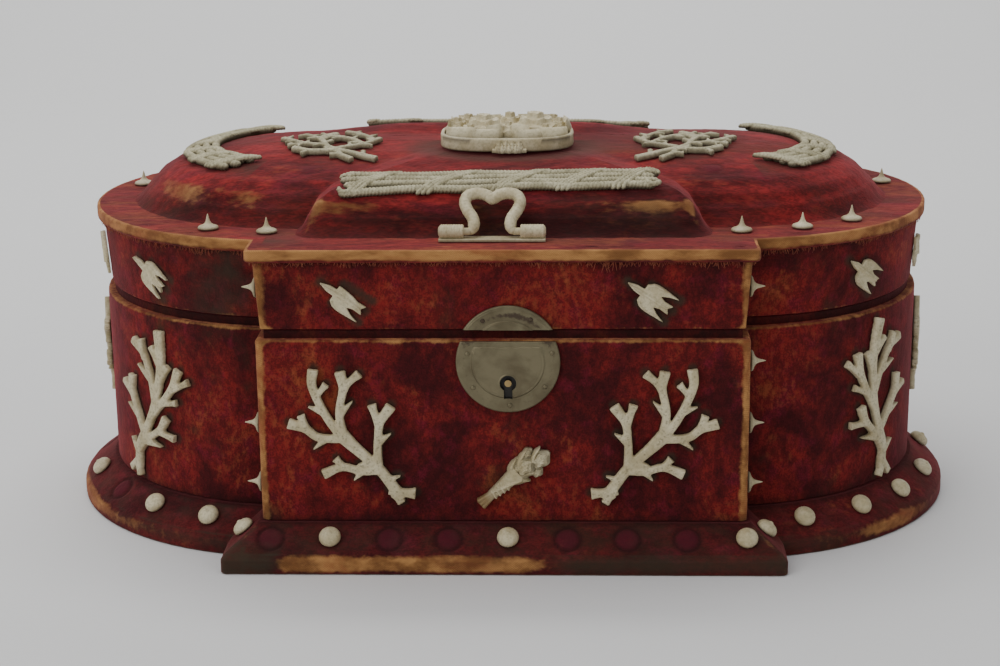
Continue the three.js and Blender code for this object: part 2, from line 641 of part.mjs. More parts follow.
// Medallion: a shallow dish of squared oval plan with a scroll in front, filled with roses and leaves.
function medallion() {
  const bottom = DOME_TOP + GAP;
  const rim = bottom + MEDALLION_HEIGHT;
  const sides = 22;
  const oval = (inset, z) => {
    const ring = [];
    for (let i = 0; i < sides; i++) {
      const angle = (2 * Math.PI * i) / sides;
      const x = (MEDALLION_HALF_WIDTH - inset) * squared(Math.cos(angle));
      const y = (MEDALLION_HALF_DEPTH - inset) * squared(Math.sin(angle));
      ring.push(new THREE.Vector3(x, y + MEDALLION_Y, z));
    }
    return ring;
  };
  const dishFloor = rim - MEDALLION_RECESS;
  const inside = [oval(MEDALLION_RIM, rim), oval(MEDALLION_RIM, dishFloor)];
  const dish = loft([oval(0, bottom), oval(0, rim), ...inside]);
  const onDish = (u, v, w) => new THREE.Vector3(u, v + MEDALLION_Y, dishFloor - SINK + w);
  const onCrown = (u, v, w) => new THREE.Vector3(u, v + MEDALLION_Y, bottom + w);
  const scroll = [-1, 0, 1].map((i) => boss(SCROLL_X + SCROLL_STEP * i, -MEDALLION_HALF_DEPTH + Math.abs(i),
    SCROLL_RADIUS, MEDALLION_HEIGHT * 0.85, onCrown));
  const at = ([u, v]) => [u * MEDALLION_HALF_WIDTH, v * MEDALLION_HALF_DEPTH];
  const leaves = MEDALLION_LEAVES.map(({ from, to, width, thickness }) => (
    leaf(at(from), at(to), width, thickness, onDish)));
  const roses = MEDALLION_ROSES.flatMap((place) => rose(...at(place), ROSE_RADIUS, ROSE_HEIGHT + 2, onDish));
  const small = MEDALLION_FLOWERS.map((place) => (
    boss(...at(place), MEDALLION_FLOWER_RADIUS, ROSE_HEIGHT, onDish, 5)));
  return toGeometry(join([dish, ...scroll, ...leaves, ...roses, ...small]));
}

const squared = (value) => Math.sign(value) * Math.abs(value) ** MEDALLION_SQUARENESS;

// Studs are turned pieces; their axis is the lathe's, and points out of the surface.

const SPIRE_PROFILE = [[0, 0], [1, 0], [0.9, 0.2], [0.25, 0.45], [0, 1]];
const BEAD_PROFILE = [[0, 0], [1, 0], [0.86, 0.6], [0, 1]];

function stud(profile, radius, height) {
  return new THREE.LatheGeometry(profile.map(([r, h]) => new THREE.Vector2(r * radius, h * height)), STUD_SIDES);
}

const box = new THREE.Group();

function add(name, geometry, material) {
  const mesh = new THREE.Mesh(geometry, material);
  mesh.name = name;
  box.add(mesh);
  return mesh;
}

function addStud(name, geometry, seat, out) {
  const mesh = add(name, geometry, bone);
  mesh.position.copy(seat).addScaledVector(out, GAP);
  mesh.quaternion.setFromUnitVectors(new THREE.Vector3(0, 1, 0), out);
}

// Carcase

function plinth() {
  const shoulder = PLINTH_OVERHANG - PLINTH_SHOULDER_IN;
  return loft([
    planRing(BODY_PLAN, PLINTH_OVERHANG, 0),
    planRing(BODY_PLAN, PLINTH_OVERHANG, PLINTH_EDGE),
    planRing(BODY_PLAN, shoulder, PLINTH_EDGE + PLINTH_SHOULDER_UP),
    planRing(BODY_PLAN, PLINTH_SEAT, PLINTH_HEIGHT),
  ]);
}

function boxBody() {
  const shell = loft([
    planRing(BODY_PLAN, 0, WALL_FOOT),
    planRing(BODY_PLAN, 0, BODY_TOP - EDGE_ROUND),
    planRing(BODY_PLAN, -EDGE_ROUND, BODY_TOP),
    planRing(BODY_PLAN, -LIP_SETBACK, BODY_TOP),
    planRing(BODY_PLAN, -LIP_SETBACK, LIP_TOP),
    planRing(BODY_PLAN, -WALL, LIP_TOP),
    planRing(BODY_PLAN, -WALL, WALL_FOOT + FLOOR),
  ]);
  const width = 2 * (LOCK_CASE_HALF_WIDTH + GAP);
  const height = LOCK_CASE_TOP_Z - LOCK_CASE_BOTTOM_Z + 2 * GAP;
  const mortise = new THREE.BoxGeometry(width, 2 * (LOCK_CASE_DEPTH + GAP), height);
  mortise.translate(LOCK_X, -BLOCK_DEPTH, (LOCK_CASE_TOP_Z + LOCK_CASE_BOTTOM_Z) / 2);
  return toGeometry(toSolid(shell).subtract(toSolid(mortise)));
}

function lidFrame() {
  return loft([
    planRing(BODY_PLAN, -LID_TAPER - EDGE_ROUND / 2, LID_BOTTOM),
    planRing(BODY_PLAN, -lidInset(LID_BOTTOM + EDGE_ROUND), LID_BOTTOM + EDGE_ROUND),
    planRing(BODY_PLAN, 0, LID_WALL_TOP),
    planRing(BODY_PLAN, -WALL, LID_WALL_TOP),
    planRing(BODY_PLAN, -WALL, LID_BOTTOM),
  ], true);
}

function lidBoard() {
  const inner = -DOME_BEARING;
  return loft([
    planRing(BODY_PLAN, BOARD_OVERHANG - BOARD_ROUND, BOARD_BOTTOM),
    planRing(BODY_PLAN, BOARD_OVERHANG, BOARD_BOTTOM + BOARD_ROUND),
    planRing(BODY_PLAN, BOARD_OVERHANG, BOARD_TOP - BOARD_ROUND),
    planRing(BODY_PLAN, BOARD_OVERHANG - BOARD_ROUND, BOARD_TOP),
    planRing(DOME_PLAN, inner, BOARD_TOP),
    planRing(DOME_PLAN, inner, BOARD_BOTTOM),
  ], true);
}

// Hollow dome: the inner skin repeats the outer one, a wall's thickness in and down.
function lidDome() {
  const outer = DOME_RISE.map(({ inset, rise }) => planRing(DOME_PLAN, -inset, DOME_FOOT + rise));
  const inner = DOME_RISE.filter(({ rise }) => rise > DOME_WALL)
    .map(({ inset, rise }) => planRing(DOME_PLAN, -(inset + DOME_WALL), DOME_FOOT + rise - DOME_WALL));
  const innerFoot = planRing(DOME_PLAN, -(DOME_BEARING + DOME_RISE[1].inset), DOME_FOOT);
  return loft([...inner.slice(0, -1).reverse(), innerFoot, ...outer]);
}

// Lock

function roundPlate(radius, centreZ, cutZ, below) {
  const half = Math.asin((cutZ - centreZ) / radius);
  const shape = new THREE.Shape();
  if (below) shape.absarc(LOCK_X, centreZ, radius, Math.PI - half, 2 * Math.PI + half, false);
  else shape.absarc(LOCK_X, centreZ, radius, half, Math.PI - half, false);
  shape.closePath();
  return shape;
}

function raised(shape, from, to, place) {
  const settings = { depth: to - from, bevelEnabled: false, curveSegments: ARC_STEPS };
  const geometry = new THREE.ExtrudeGeometry(shape, settings);
  geometry.translate(0, 0, from);
  return toSolid(lay(geometry, place));
}

function lock() {
  const face = LOCK_PLATE + LOCK_DISC;
  const caseShape = new THREE.Shape([
    new THREE.Vector2(LOCK_X - LOCK_CASE_HALF_WIDTH, LOCK_CASE_BOTTOM_Z),
    new THREE.Vector2(LOCK_X + LOCK_CASE_HALF_WIDTH, LOCK_CASE_BOTTOM_Z),
    new THREE.Vector2(LOCK_X + LOCK_CASE_HALF_WIDTH, LOCK_CASE_TOP_Z),
    new THREE.Vector2(LOCK_X - LOCK_CASE_HALF_WIDTH, LOCK_CASE_TOP_Z),
  ]);
  const keyRound = new THREE.Shape().absarc(LOCK_X, KEYHOLE_Z, KEYHOLE_RADIUS, 0, 2 * Math.PI, false);
  const keyPost = new THREE.Shape().absarc(LOCK_X, KEYHOLE_Z, KEY_POST_RADIUS, 0, 2 * Math.PI, false);
  const keySlot = new THREE.Shape([
    new THREE.Vector2(LOCK_X - KEYHOLE_SLOT_WIDTH / 2, KEYHOLE_SLOT_Z),
    new THREE.Vector2(LOCK_X + KEYHOLE_SLOT_WIDTH / 2, KEYHOLE_SLOT_Z),
    new THREE.Vector2(LOCK_X + KEYHOLE_SLOT_WIDTH / 2, KEYHOLE_Z),
    new THREE.Vector2(LOCK_X - KEYHOLE_SLOT_WIDTH / 2, KEYHOLE_Z),
  ]);
  const pocket = face - KEYHOLE_DEPTH;
  const body = raised(roundPlate(LOCK_RADIUS, LOCK_Z, LOCK_TOP_Z, true), 0, LOCK_PLATE, onFront)
    .add(raised(roundPlate(LOCK_DISC_RADIUS, LOCK_Z, LOCK_DISC_TOP_Z, true), LOCK_PLATE - SINK, face, onFront))
    .add(raised(caseShape, -LOCK_CASE_DEPTH, SINK, onFront));
  const hole = raised(keyRound, pocket, face + 1, onFront).add(raised(keySlot, pocket, face + 1, onFront));
  return toGeometry(body.subtract(hole).add(raised(keyPost, pocket - SINK, face - SINK, onFront)));
}

function strikePlate() {
  const cut = LID_BOTTOM + GAP;
  const plate = raised(roundPlate(LOCK_RADIUS, STRIKE_Z, cut, false), 0, LOCK_PLATE, onLidFront);
  const disc = raised(roundPlate(LOCK_DISC_RADIUS, STRIKE_Z, cut, false), LOCK_PLATE - SINK,
    LOCK_PLATE + LOCK_DISC, onLidFront);
  return toGeometry(plate.add(disc));
}

// Hinges, screwed to the back. The body's leaf carries two knuckles and the pin, the lid's leaf one.

function alongX(geometry, x, y, z) {
  geometry.rotateZ(Math.PI / 2);
  geometry.translate(x, y, z);
  return geometry;
}

function profileX(points, from, to) {
  const shape = new THREE.Shape(points.map(([y, z]) => new THREE.Vector2(y, z)));
  const geometry = new THREE.ExtrudeGeometry(shape, { depth: to - from, bevelEnabled: false });
  return lay(geometry, (y, z, x) => new THREE.Vector3(from + x, y, z));
}

function bodyHinge(x) {
  const inner = BODY_RADIUS + GAP;
  const outer = inner + HINGE_LEAF;
  const leafTop = HINGE_Z - KNUCKLE_RADIUS - GAP;
  const half = HINGE_LENGTH / 2;
  const free = (HINGE_LENGTH * KNUCKLE_SHARE) / 2 + GAP;
  const leafPoints = [[inner, leafTop - HINGE_LEAF_HEIGHT], [outer, leafTop - HINGE_LEAF_HEIGHT],
    [outer, leafTop], [inner, leafTop]];
  const earPoints = [[inner, leafTop - SINK], [outer, leafTop - SINK], [outer, HINGE_Z], [inner, HINGE_Z]];
  const parts = [profileX(leafPoints, x - half, x + half)];
  for (const side of [-1, 1]) {
    const ends = [side * free, side * half].sort((a, b) => a - b);
    const knuckle = new THREE.CylinderGeometry(KNUCKLE_RADIUS, KNUCKLE_RADIUS, half - free, KNUCKLE_SIDES);
    parts.push(profileX(earPoints, x + ends[0], x + ends[1]));
    parts.push(alongX(knuckle, x + (ends[0] + ends[1]) / 2, HINGE_Y, HINGE_Z));
  }
  const pin = new THREE.CylinderGeometry(HINGE_PIN_RADIUS, HINGE_PIN_RADIUS, HINGE_LENGTH, KNUCKLE_SIDES);
  parts.push(alongX(pin, x, HINGE_Y, HINGE_Z));
  return toGeometry(join(parts));
}

function lidHinge(x) {
  const faceY = (z) => BODY_RADIUS - lidInset(z) + GAP;
  const low = HINGE_Z + KNUCKLE_RADIUS + GAP;
  const high = low + HINGE_LEAF_HEIGHT;
  const half = HINGE_LENGTH / 2;
  const knuckleHalf = (HINGE_LENGTH * KNUCKLE_SHARE) / 2;
  const leafPoints = [[faceY(low), low], [faceY(low) + HINGE_LEAF, low], [faceY(high) + HINGE_LEAF, high],
    [faceY(high), high]];
  const earInner = HINGE_Y - KNUCKLE_RADIUS * 0.95;
  const earPoints = [[faceY(low), low + SINK], [earInner, HINGE_Z], [earInner + HINGE_LEAF, HINGE_Z],
    [faceY(low) + HINGE_LEAF, low + SINK]];
  const knuckle = new THREE.CylinderGeometry(KNUCKLE_RADIUS, KNUCKLE_RADIUS, 2 * knuckleHalf, KNUCKLE_SIDES);
  const boreRadius = HINGE_PIN_RADIUS + TURN_GAP;
  const bore = new THREE.CylinderGeometry(boreRadius, boreRadius, HINGE_LENGTH, KNUCKLE_SIDES);
  const whole = join([
    profileX(leafPoints, x - half, x + half),
    profileX(earPoints, x - knuckleHalf, x + knuckleHalf),
    alongX(knuckle, x, HINGE_Y, HINGE_Z),
  ]);
  return toGeometry(whole.subtract(toSolid(alongX(bore, x, HINGE_Y, HINGE_Z))));
}

// Pull: a thin strip with two barrels on the ledge, and a heart-topped bail that turns in them.

function pullMount() {
  const outerX = BARREL_INNER_X + BARREL_LENGTH;
  const strip = new THREE.BoxGeometry(2 * outerX, PULL_STRIP_DEPTH, PULL_STRIP);
  strip.translate(PULL_X, PULL_Y, BOARD_TOP + GAP + PULL_STRIP / 2);
  const parts = [strip];
  for (const side of [-1, 1]) {
    const barrel = new THREE.CylinderGeometry(BARREL_RADIUS, BARREL_RADIUS, BARREL_LENGTH, 10);
    parts.push(alongX(barrel, PULL_X + side * (BARREL_INNER_X + BARREL_LENGTH / 2), PULL_Y, PULL_PIVOT_Z));
  }
  let whole = join(parts);
  const boreRadius = BAIL_PIN_RADIUS + TURN_GAP;
  for (const side of [-1, 1]) {
    const length = BAIL_PIN_LENGTH + 2 * TURN_GAP;
    const bore = new THREE.CylinderGeometry(boreRadius, boreRadius, length, 12);
    alongX(bore, PULL_X + side * (BARREL_INNER_X + BAIL_PIN_LENGTH / 2), PULL_Y, PULL_PIVOT_Z);
    whole = whole.subtract(toSolid(bore));
  }
  return toGeometry(whole);
}

// The bail's middle line in its own plane: up from the pivot, out to the lobes, and a dip between them.
const BAIL_HALF_LINE = [[0.9, 0], [0.74, 0.04], [0.66, 0.16], [0.7, 0.34], [0.9, 0.56], [1, 0.76], [0.88, 0.94],
  [0.55, 1], [0.22, 0.95], [0, 0.86]];

function pullBail() {
  const lean = radians(BAIL_LEAN);
  const place = (u, v) => new THREE.Vector3(PULL_X + u, PULL_Y + v * Math.cos(lean),
    PULL_PIVOT_Z + v * Math.sin(lean));
  const half = BAIL_HALF_LINE.map(([u, v]) => [u * BAIL_HALF_WIDTH, v * BAIL_HEIGHT]);
  const mirrored = half.slice(0, -1).map(([u, v]) => [-u, v]);
  const line = [...mirrored, ...half.reverse()];
  const path = new THREE.CatmullRomCurve3(line.map(([u, v]) => place(u, v)));
  const section = new THREE.Shape();
  section.absarc(0, 0, BAIL_RADIUS, 0, 2 * Math.PI, false);
  const bar = new THREE.ExtrudeGeometry(section, { steps: 28, curveSegments: 4, extrudePath: path });
  const parts = [bar];
  for (const side of [-1, 1]) {
    const from = 0.78 * BAIL_HALF_WIDTH;
    const to = BARREL_INNER_X + BAIL_PIN_LENGTH;
    const pin = new THREE.CylinderGeometry(BAIL_PIN_RADIUS, BAIL_PIN_RADIUS, to - from, 10);
    parts.push(alongX(pin, PULL_X + (side * (from + to)) / 2, PULL_Y, PULL_PIVOT_Z));
  }
  return toGeometry(join(parts));
}

// Assembly

add('plinth', plinth(), velvet);
add('box_body', boxBody(), velvet);
add('lid_frame', lidFrame(), velvet);
add('lid_board', lidBoard(), wornVelvet);
add('lid_dome', lidDome(), velvet);
add('lock', lock(), nickel);
add('strike_plate', strikePlate(), nickel);

for (const [side, name] of [[-1, 'left'], [1, 'right']]) {
  add(`hinge_${name}_body`, bodyHinge(side * HINGE_X), brass);
  add(`hinge_${name}_lid`, lidHinge(side * HINGE_X), brass);
}

add('pull_mount', pullMount(), bone);
add('pull_bail', pullBail(), bone);

for (const [side, name] of [[-1, 'left'], [1, 'right']]) {
  const frontPlace = shifted(onFront, side * FRONT_CORAL_X, FRONT_CORAL_Z);
  const lean = side < 0 ? BOW_CORAL_LEAN_LEFT : BOW_CORAL_LEAN_RIGHT;
  const bowPlace = turned(onBow(side, BOW_CORAL_ANGLE), lean, 0, BOW_CORAL_Z);
  const endPlace = shifted(onBow(side, END_CORAL_ANGLE), 0, END_CORAL_Z);
  add(`coral_front_${name}`, coral(FRONT_CORAL_BRANCHES, FRONT_CORAL_HEIGHT, -side, frontPlace), bone);
  add(`coral_bow_${name}`, coral(BOW_CORAL_BRANCHES, BOW_CORAL_HEIGHT, side, bowPlace), bone);
  add(`coral_end_${name}`, coral(BOW_CORAL_BRANCHES, END_CORAL_HEIGHT, side, endPlace), bone);
}

add('bird_front_left', bird(turned(onLidFront, BIRD_TILT, FRONT_BIRD_X[0], BIRD_Z), false), bone);
add('bird_front_right', bird(turned(onLidFront, BIRD_TILT, FRONT_BIRD_X[1], BIRD_Z)), bone);
for (const [side, name] of [[-1, 'left'], [1, 'right']]) {
  add(`bird_bow_${name}`, bird(turned(againstLidBow(side, BOW_BIRD_ANGLE), BIRD_TILT, 0, BIRD_Z)), bone);
  add(`bird_end_${name}`, bird(turned(againstLidBow(side, END_BIRD_ANGLE), BIRD_TILT, 0, BIRD_Z)), bone);
}

add('bouquet', bouquet(turned(onFront, BOUQUET_TILT, BOUQUET_X, BOUQUET_Z)), bone);
add('rope_bundle_front', ropeBundle(-1), dustyBone);
add('rope_bundle_back', ropeBundle(1), dustyBone);
add('garland_left', garland(-1), dustyBone);
add('garland_right', garland(1), dustyBone);
add('twigs_left', twigs(-1), dustyBone);
add('twigs_right', twigs(1), dustyBone);
add('medallion', medallion(), bone);

// Spires on the ledge

const spire = stud(SPIRE_PROFILE, SPIRE_RADIUS, SPIRE_HEIGHT);
const bead = stud(BEAD_PROFILE, BEAD_RADIUS, BEAD_HEIGHT);
const UP = new THREE.Vector3(0, 0, 1);

for (const [side, name, angles] of [[-1, 'left', LEDGE_STUDS_LEFT], [1, 'right', LEDGE_STUDS_RIGHT]]) {
  angles.forEach((degrees, i) => {
    const angle = radians(degrees);
    const reach = (BODY_RADIUS + DOME_RADIUS) / 2 + LEDGE_STUD_OUT;
    const x = side * (BOW_CENTRE_X + reach * Math.sin(angle));
    const seat = new THREE.Vector3(x, -reach * Math.cos(angle), BOARD_TOP);
    addStud(`ledge_stud_${name}_${i + 1}`, spire, seat, UP);
  });
}

// Beads on the plinth's slope

const slopeRun = PLINTH_OVERHANG - PLINTH_SHOULDER_IN - PLINTH_SEAT;
const slopeRise = PLINTH_HEIGHT - PLINTH_EDGE - PLINTH_SHOULDER_UP;
const slopeLength = Math.hypot(slopeRun, slopeRise);
const slopeOut = slopeRise / slopeLength;
const slopeUp = slopeRun / slopeLength;
const beadOffset = PLINTH_SEAT + slopeRun / 2;
const beadZ = PLINTH_HEIGHT - slopeRise / 2;

// The bead beside the block lies midway between the bow's slope and the front one
const returnX = BLOCK_HALF_WIDTH + beadOffset;
const bowSlopeY = Math.sqrt((BODY_RADIUS + beadOffset) ** 2 - (returnX - BOW_CENTRE_X) ** 2);
const returnBeadY = -(bowSlopeY + BLOCK_DEPTH + beadOffset) / 2;

PLINTH_STUD_ALONG.forEach((x, i) => {
  const seat = new THREE.Vector3(x, -(BLOCK_DEPTH + beadOffset), beadZ);
  addStud(`plinth_stud_front_${i + 1}`, bead, seat, new THREE.Vector3(0, -slopeOut, slopeUp));
});

for (const [side, name, angles] of [[-1, 'left', PLINTH_STUD_LEFT], [1, 'right', PLINTH_STUD_RIGHT]]) {
  const returnSeat = new THREE.Vector3(side * returnX, returnBeadY, beadZ);
  addStud(`plinth_stud_return_${name}`, bead, returnSeat, new THREE.Vector3(side * slopeOut, 0, slopeUp));
  angles.forEach((degrees, i) => {
    const angle = radians(degrees);
    const reach = BODY_RADIUS + beadOffset;
    const x = side * (BOW_CENTRE_X + reach * Math.sin(angle));
    const seat = new THREE.Vector3(x, -reach * Math.cos(angle), beadZ);
    const out = new THREE.Vector3(side * Math.sin(angle) * slopeOut, -Math.cos(angle) * slopeOut, slopeUp);
    addStud(`plinth_stud_${name}_${i + 1}`, bead, seat, out);
  });
}

// Spires on the sides of the block

const returnY = -(BLOCK_DEPTH + BODY_RADIUS) / 2;
for (const [side, name, heights] of [[-1, 'left', RETURN_STUD_Z_LEFT], [1, 'right', RETURN_STUD_Z_RIGHT]]) {
  const out = new THREE.Vector3(side, 0, 0);
  heights.forEach((z, i) => {
    const seat = new THREE.Vector3(side * BLOCK_HALF_WIDTH, returnY, z);
    addStud(`return_stud_${name}_${i + 1}`, spire, seat, out);
  });
  const lidX = side * (BLOCK_HALF_WIDTH - lidInset(RETURN_LID_STUD_Z));
  const seat = new THREE.Vector3(lidX, returnY, RETURN_LID_STUD_Z);
  addStud(`return_stud_lid_${name}`, spire, seat, out);
}

export default box;
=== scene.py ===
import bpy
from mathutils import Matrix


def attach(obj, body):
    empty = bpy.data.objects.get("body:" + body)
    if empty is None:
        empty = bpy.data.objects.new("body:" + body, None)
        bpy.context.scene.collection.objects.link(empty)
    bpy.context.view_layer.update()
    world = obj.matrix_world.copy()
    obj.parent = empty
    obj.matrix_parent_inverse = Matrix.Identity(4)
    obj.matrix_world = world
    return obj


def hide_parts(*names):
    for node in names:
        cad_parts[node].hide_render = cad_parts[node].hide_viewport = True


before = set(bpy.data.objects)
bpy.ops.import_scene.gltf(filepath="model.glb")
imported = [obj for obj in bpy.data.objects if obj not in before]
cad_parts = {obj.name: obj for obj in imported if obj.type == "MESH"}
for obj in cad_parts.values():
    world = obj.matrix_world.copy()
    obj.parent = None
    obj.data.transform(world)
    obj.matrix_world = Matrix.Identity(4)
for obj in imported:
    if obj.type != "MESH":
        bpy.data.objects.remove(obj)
"""Dress of the velvet-covered sewing box: pile, worn edges, carved bone, lock and pull.

Shapes are drawn in millimetres and put into the mesh in metres. +Z is up, -Y is the front.
A drawing on a surface has u to the right, v up (or back on the dome) and w out of the surface.
"""

import bpy
import numpy as np
from mathutils import Matrix, Vector

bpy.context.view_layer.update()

MM = 0.001
GAP = 0.3
BOW_X = 81.6
BODY_RADIUS = 84.1
BLOCK_HALF = 91.3
BLOCK_DEPTH = 100.9
WALL = 8.0
LID_BOTTOM = 90.2
LID_TOP = 117.0
LID_TAPER = 2.0
BOARD_TOP = 121.4
DOME_FOOT = 121.7
DOME_HEIGHT = 22.6
DOME_SHARES = [(0, 0), (1.5, .235), (4, .482), (10, .673), (22, .814), (40, .947), (58, 1)]
DOME_RISE = np.array(DOME_SHARES) * [1, DOME_HEIGHT]
DOME_TOP = DOME_FOOT + DOME_HEIGHT
MEDALLION_Y = -17.0
TWIG_Y = -15.0
PULL = (-3.6, -89.0, 124.95)
rng = np.random.default_rng(11)


# Shapes as arrays

class Shape:
    """Vertices, four-cornered faces with their UVs, end caps, and masks held by the vertices."""

    def __init__(self, verts, quads, uv=None, caps=(), masks=None, slots=None):
        self.verts = verts
        self.quads = quads
        self.uv = np.zeros((len(quads), 4, 2)) if uv is None else uv
        self.caps = list(caps)
        self.masks = masks or {}
        self.slots = np.zeros(len(quads), int) if slots is None else slots
        self.cap_slots = [0] * len(self.caps)


def skin(grid, closed=True, caps=True, uv=None, masks=None):
    """Grid of points (rows, columns) as a surface; columns join round when closed, end rows get caps."""
    rows, cols = grid.shape[:2]
    r, c = np.meshgrid(np.arange(rows - 1), np.arange(cols if closed else cols - 1), indexing="ij")
    following = (c + 1) % cols
    quads = np.stack([r * cols + c, r * cols + following, (r + 1) * cols + following, (r + 1) * cols + c], -1)
    corners = None
    if uv is not None:
        corners = np.stack([uv[r, c], uv[r, c + 1], uv[r + 1, c + 1], uv[r + 1, c]], -2).reshape(-1, 4, 2)
    ends = []
    if caps and closed:
        ends = [np.arange(cols)[::-1], (rows - 1) * cols + np.arange(cols)]
    flat_masks = {k: np.broadcast_to(m, (rows, cols)).ravel() for k, m in (masks or {}).items()}
    return Shape(grid.reshape(-1, 3), quads.reshape(-1, 4), corners, ends, flat_masks)


def together(shapes):
    """One shape out of several; a mask that one of them lacks is 0 there."""
    names = {n for s in shapes for n in s.masks}
    start = np.cumsum([0] + [len(s.verts) for s in shapes])
    whole = Shape(
        np.concatenate([s.verts for s in shapes]),
        np.concatenate([s.quads + b for s, b in zip(shapes, start)]),
        np.concatenate([s.uv for s in shapes]),
        [cap + b for s, b in zip(shapes, start) for cap in s.caps],
        {n: np.concatenate([s.masks.get(n, np.zeros(len(s.verts))) for s in shapes]) for n in names},
        np.concatenate([s.slots for s in shapes]),
    )
    whole.cap_slots = [k for s in shapes for k in s.cap_slots]
    return whole


def laid(shape, place):
    """The shape with every (u, v, w) moved to its place on a surface."""
    moved = Shape(place(*shape.verts.T), shape.quads, shape.uv, shape.caps, shape.masks, shape.slots)
    moved.cap_slots = shape.cap_slots
    return moved


def mesh_of(name, shape, scale=MM, sharp=None):
    mesh = bpy.data.meshes.new(name)
    mesh.from_pydata(shape.verts * scale, [], shape.quads.tolist() + [c.tolist() for c in shape.caps])
    mesh.polygons.foreach_set("use_smooth", np.ones(len(mesh.polygons), bool))
    mesh.polygons.foreach_set("material_index", np.concatenate([shape.slots, shape.cap_slots]).astype(int))
    if shape.uv.any():
        layer = mesh.uv_layers.new(name="run")
        flat = np.concatenate([shape.uv.ravel() * scale, np.zeros(2 * sum(len(c) for c in shape.caps))])
        layer.data.foreach_set("uv", flat.astype(np.float32))
    for mask, values in shape.masks.items():
        held = mesh.attributes.new(mask, "FLOAT", "POINT")
        held.data.foreach_set("value", np.ascontiguousarray(values, dtype=np.float32))
    if sharp:
        mesh.set_sharp_from_angle(angle=np.radians(sharp))
    mesh.validate()
    return mesh


def piece(name, shape, materials, body, nodes, sharp=None):
    """Object at the origin that rides on a body and stands for its CAD nodes."""
    mesh = mesh_of(name, shape, sharp=sharp)
    for material in materials:
        mesh.materials.append(material)
    made = bpy.data.objects.new(name, mesh)
    bpy.context.collection.objects.link(made)
    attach(made, body)
    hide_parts(*nodes)
    return made


def fused(shape, voxel, smooth):
    """Overlapping closed bodies grown into one skin, with the inner corners rounded."""
    mesh = mesh_of("fusing", shape, scale=1.0)
    work = bpy.data.objects.new("fusing", mesh)
    bpy.context.collection.objects.link(work)
    remesh = work.modifiers.new("join", "REMESH")
    remesh.mode = "VOXEL"
    remesh.voxel_size = voxel
    soft = work.modifiers.new("soften", "SMOOTH")
    soft.factor = 0.5
    soft.iterations = smooth
    done = work.evaluated_get(bpy.context.evaluated_depsgraph_get()).to_mesh()
    verts = np.empty(3 * len(done.vertices), np.float32)
    done.vertices.foreach_get("co", verts)
    quads = np.empty(len(done.loops), np.int32)
    done.loops.foreach_get("vertex_index", quads)
    result = Shape(verts.reshape(-1, 3).astype(float), quads.reshape(-1, 4).astype(int))
    work.to_mesh_clear()
    bpy.data.objects.remove(work)
    bpy.data.meshes.remove(mesh)
    return result


def smooth_path(points, count):
    """Catmull-Rom curve through the points, at equal steps of its length."""
    p = np.asarray(points, float)
    if len(p) == 2:
        return p[0] + (p[1] - p[0]) * np.linspace(0, 1, count)[:, None]
    p = np.concatenate([2 * p[:1] - p[1:2], p, 2 * p[-1:] - p[-2:-1]])
    t = np.linspace(0, 1, 24, endpoint=False)[None, :, None]
    a, b, c, d = (p[i:len(p) - 3 + i][:, None] for i in range(4))
    dense = 0.5 * (2 * b + (c - a) * t + (2 * a - 5 * b + 4 * c - d) * t ** 2
                   + (3 * b - a - 3 * c + d) * t ** 3)
    dense = np.concatenate([dense.reshape(-1, p.shape[1]), p[-2:-1]])
    length = np.concatenate([[0], np.cumsum(np.linalg.norm(np.diff(dense, axis=0), axis=1))])
    at = np.linspace(0, length[-1], count)
    return np.stack([np.interp(at, length, dense[:, i]) for i in range(p.shape[1])], -1)


def smooth_values(values, count):
    return np.interp(np.linspace(0, 1, count), np.linspace(0, 1, len(values)), values)


def section_round():
    """Section of a carved twig: half an ellipse with squared shoulders, on a flat foot."""
    a = np.linspace(0, np.pi, 13)
    top = np.stack([np.sign(np.cos(a)) * np.abs(np.cos(a)) ** 0.75, np.sin(a) ** 0.55], -1)
    bed = np.array([[-0.6, 0], [0, 0], [0.6, 0]])
    return np.concatenate([top, bed]) * [0.5, 1]


ROUND = section_round()
CRISP = np.array([(.5, 0), (.5, .35), (.49, .68), (.44, .9), (.33, 1), (.1, 1.03), (-.1, 1.03), (-.33, 1),
                  (-.44, .9), (-.49, .68), (-.5, .35), (-.5, 0), (-.2, 0), (.2, 0)])
RIDGE = np.array([[0.5, 0], [0.47, 0.45], [0.12, 0.95], [0, 1], [-0.12, 0.95], [-0.47, 0.45], [-0.5, 0],
                  [0, 0]])


def stroke(points, widths, height, section=ROUND, foot=0.0):
    """A section carried along a smooth path in the drawing plane, scaled by the width and height there."""
    span = np.abs(np.diff(np.asarray(points, float), axis=0)).sum()
    count = int(np.clip(span / 0.9, 6, 60))
    path = smooth_path(points, count)
    width = smooth_values(widths, count)[:, None]
    rise = smooth_values(np.atleast_1d(height), count)[:, None] if np.ndim(height) else height
    run = np.gradient(path, axis=0)
    run /= np.linalg.norm(run, axis=1, keepdims=True) + 1e-9
    across = np.stack([-run[:, 1], run[:, 0]], -1)
    flat = path[:, None] + across[:, None] * (section[None, :, 0:1] * width[:, None])
    up = foot + section[None, :, 1] * rise * np.ones((count, 1))
    return skin(np.concatenate([flat, up[..., None]], -1))


def turned_piece(profile, sides=28):
    """Lathe: a profile of (radius, height) carried round the w axis."""
    p = np.asarray(profile, float)
    a = np.linspace(0, 2 * np.pi, sides, endpoint=False)
    grid = np.stack([p[:, :1] * np.cos(a), p[:, :1] * np.sin(a), np.repeat(p[:, 1:2], sides, 1)], -1)
    return skin(grid)


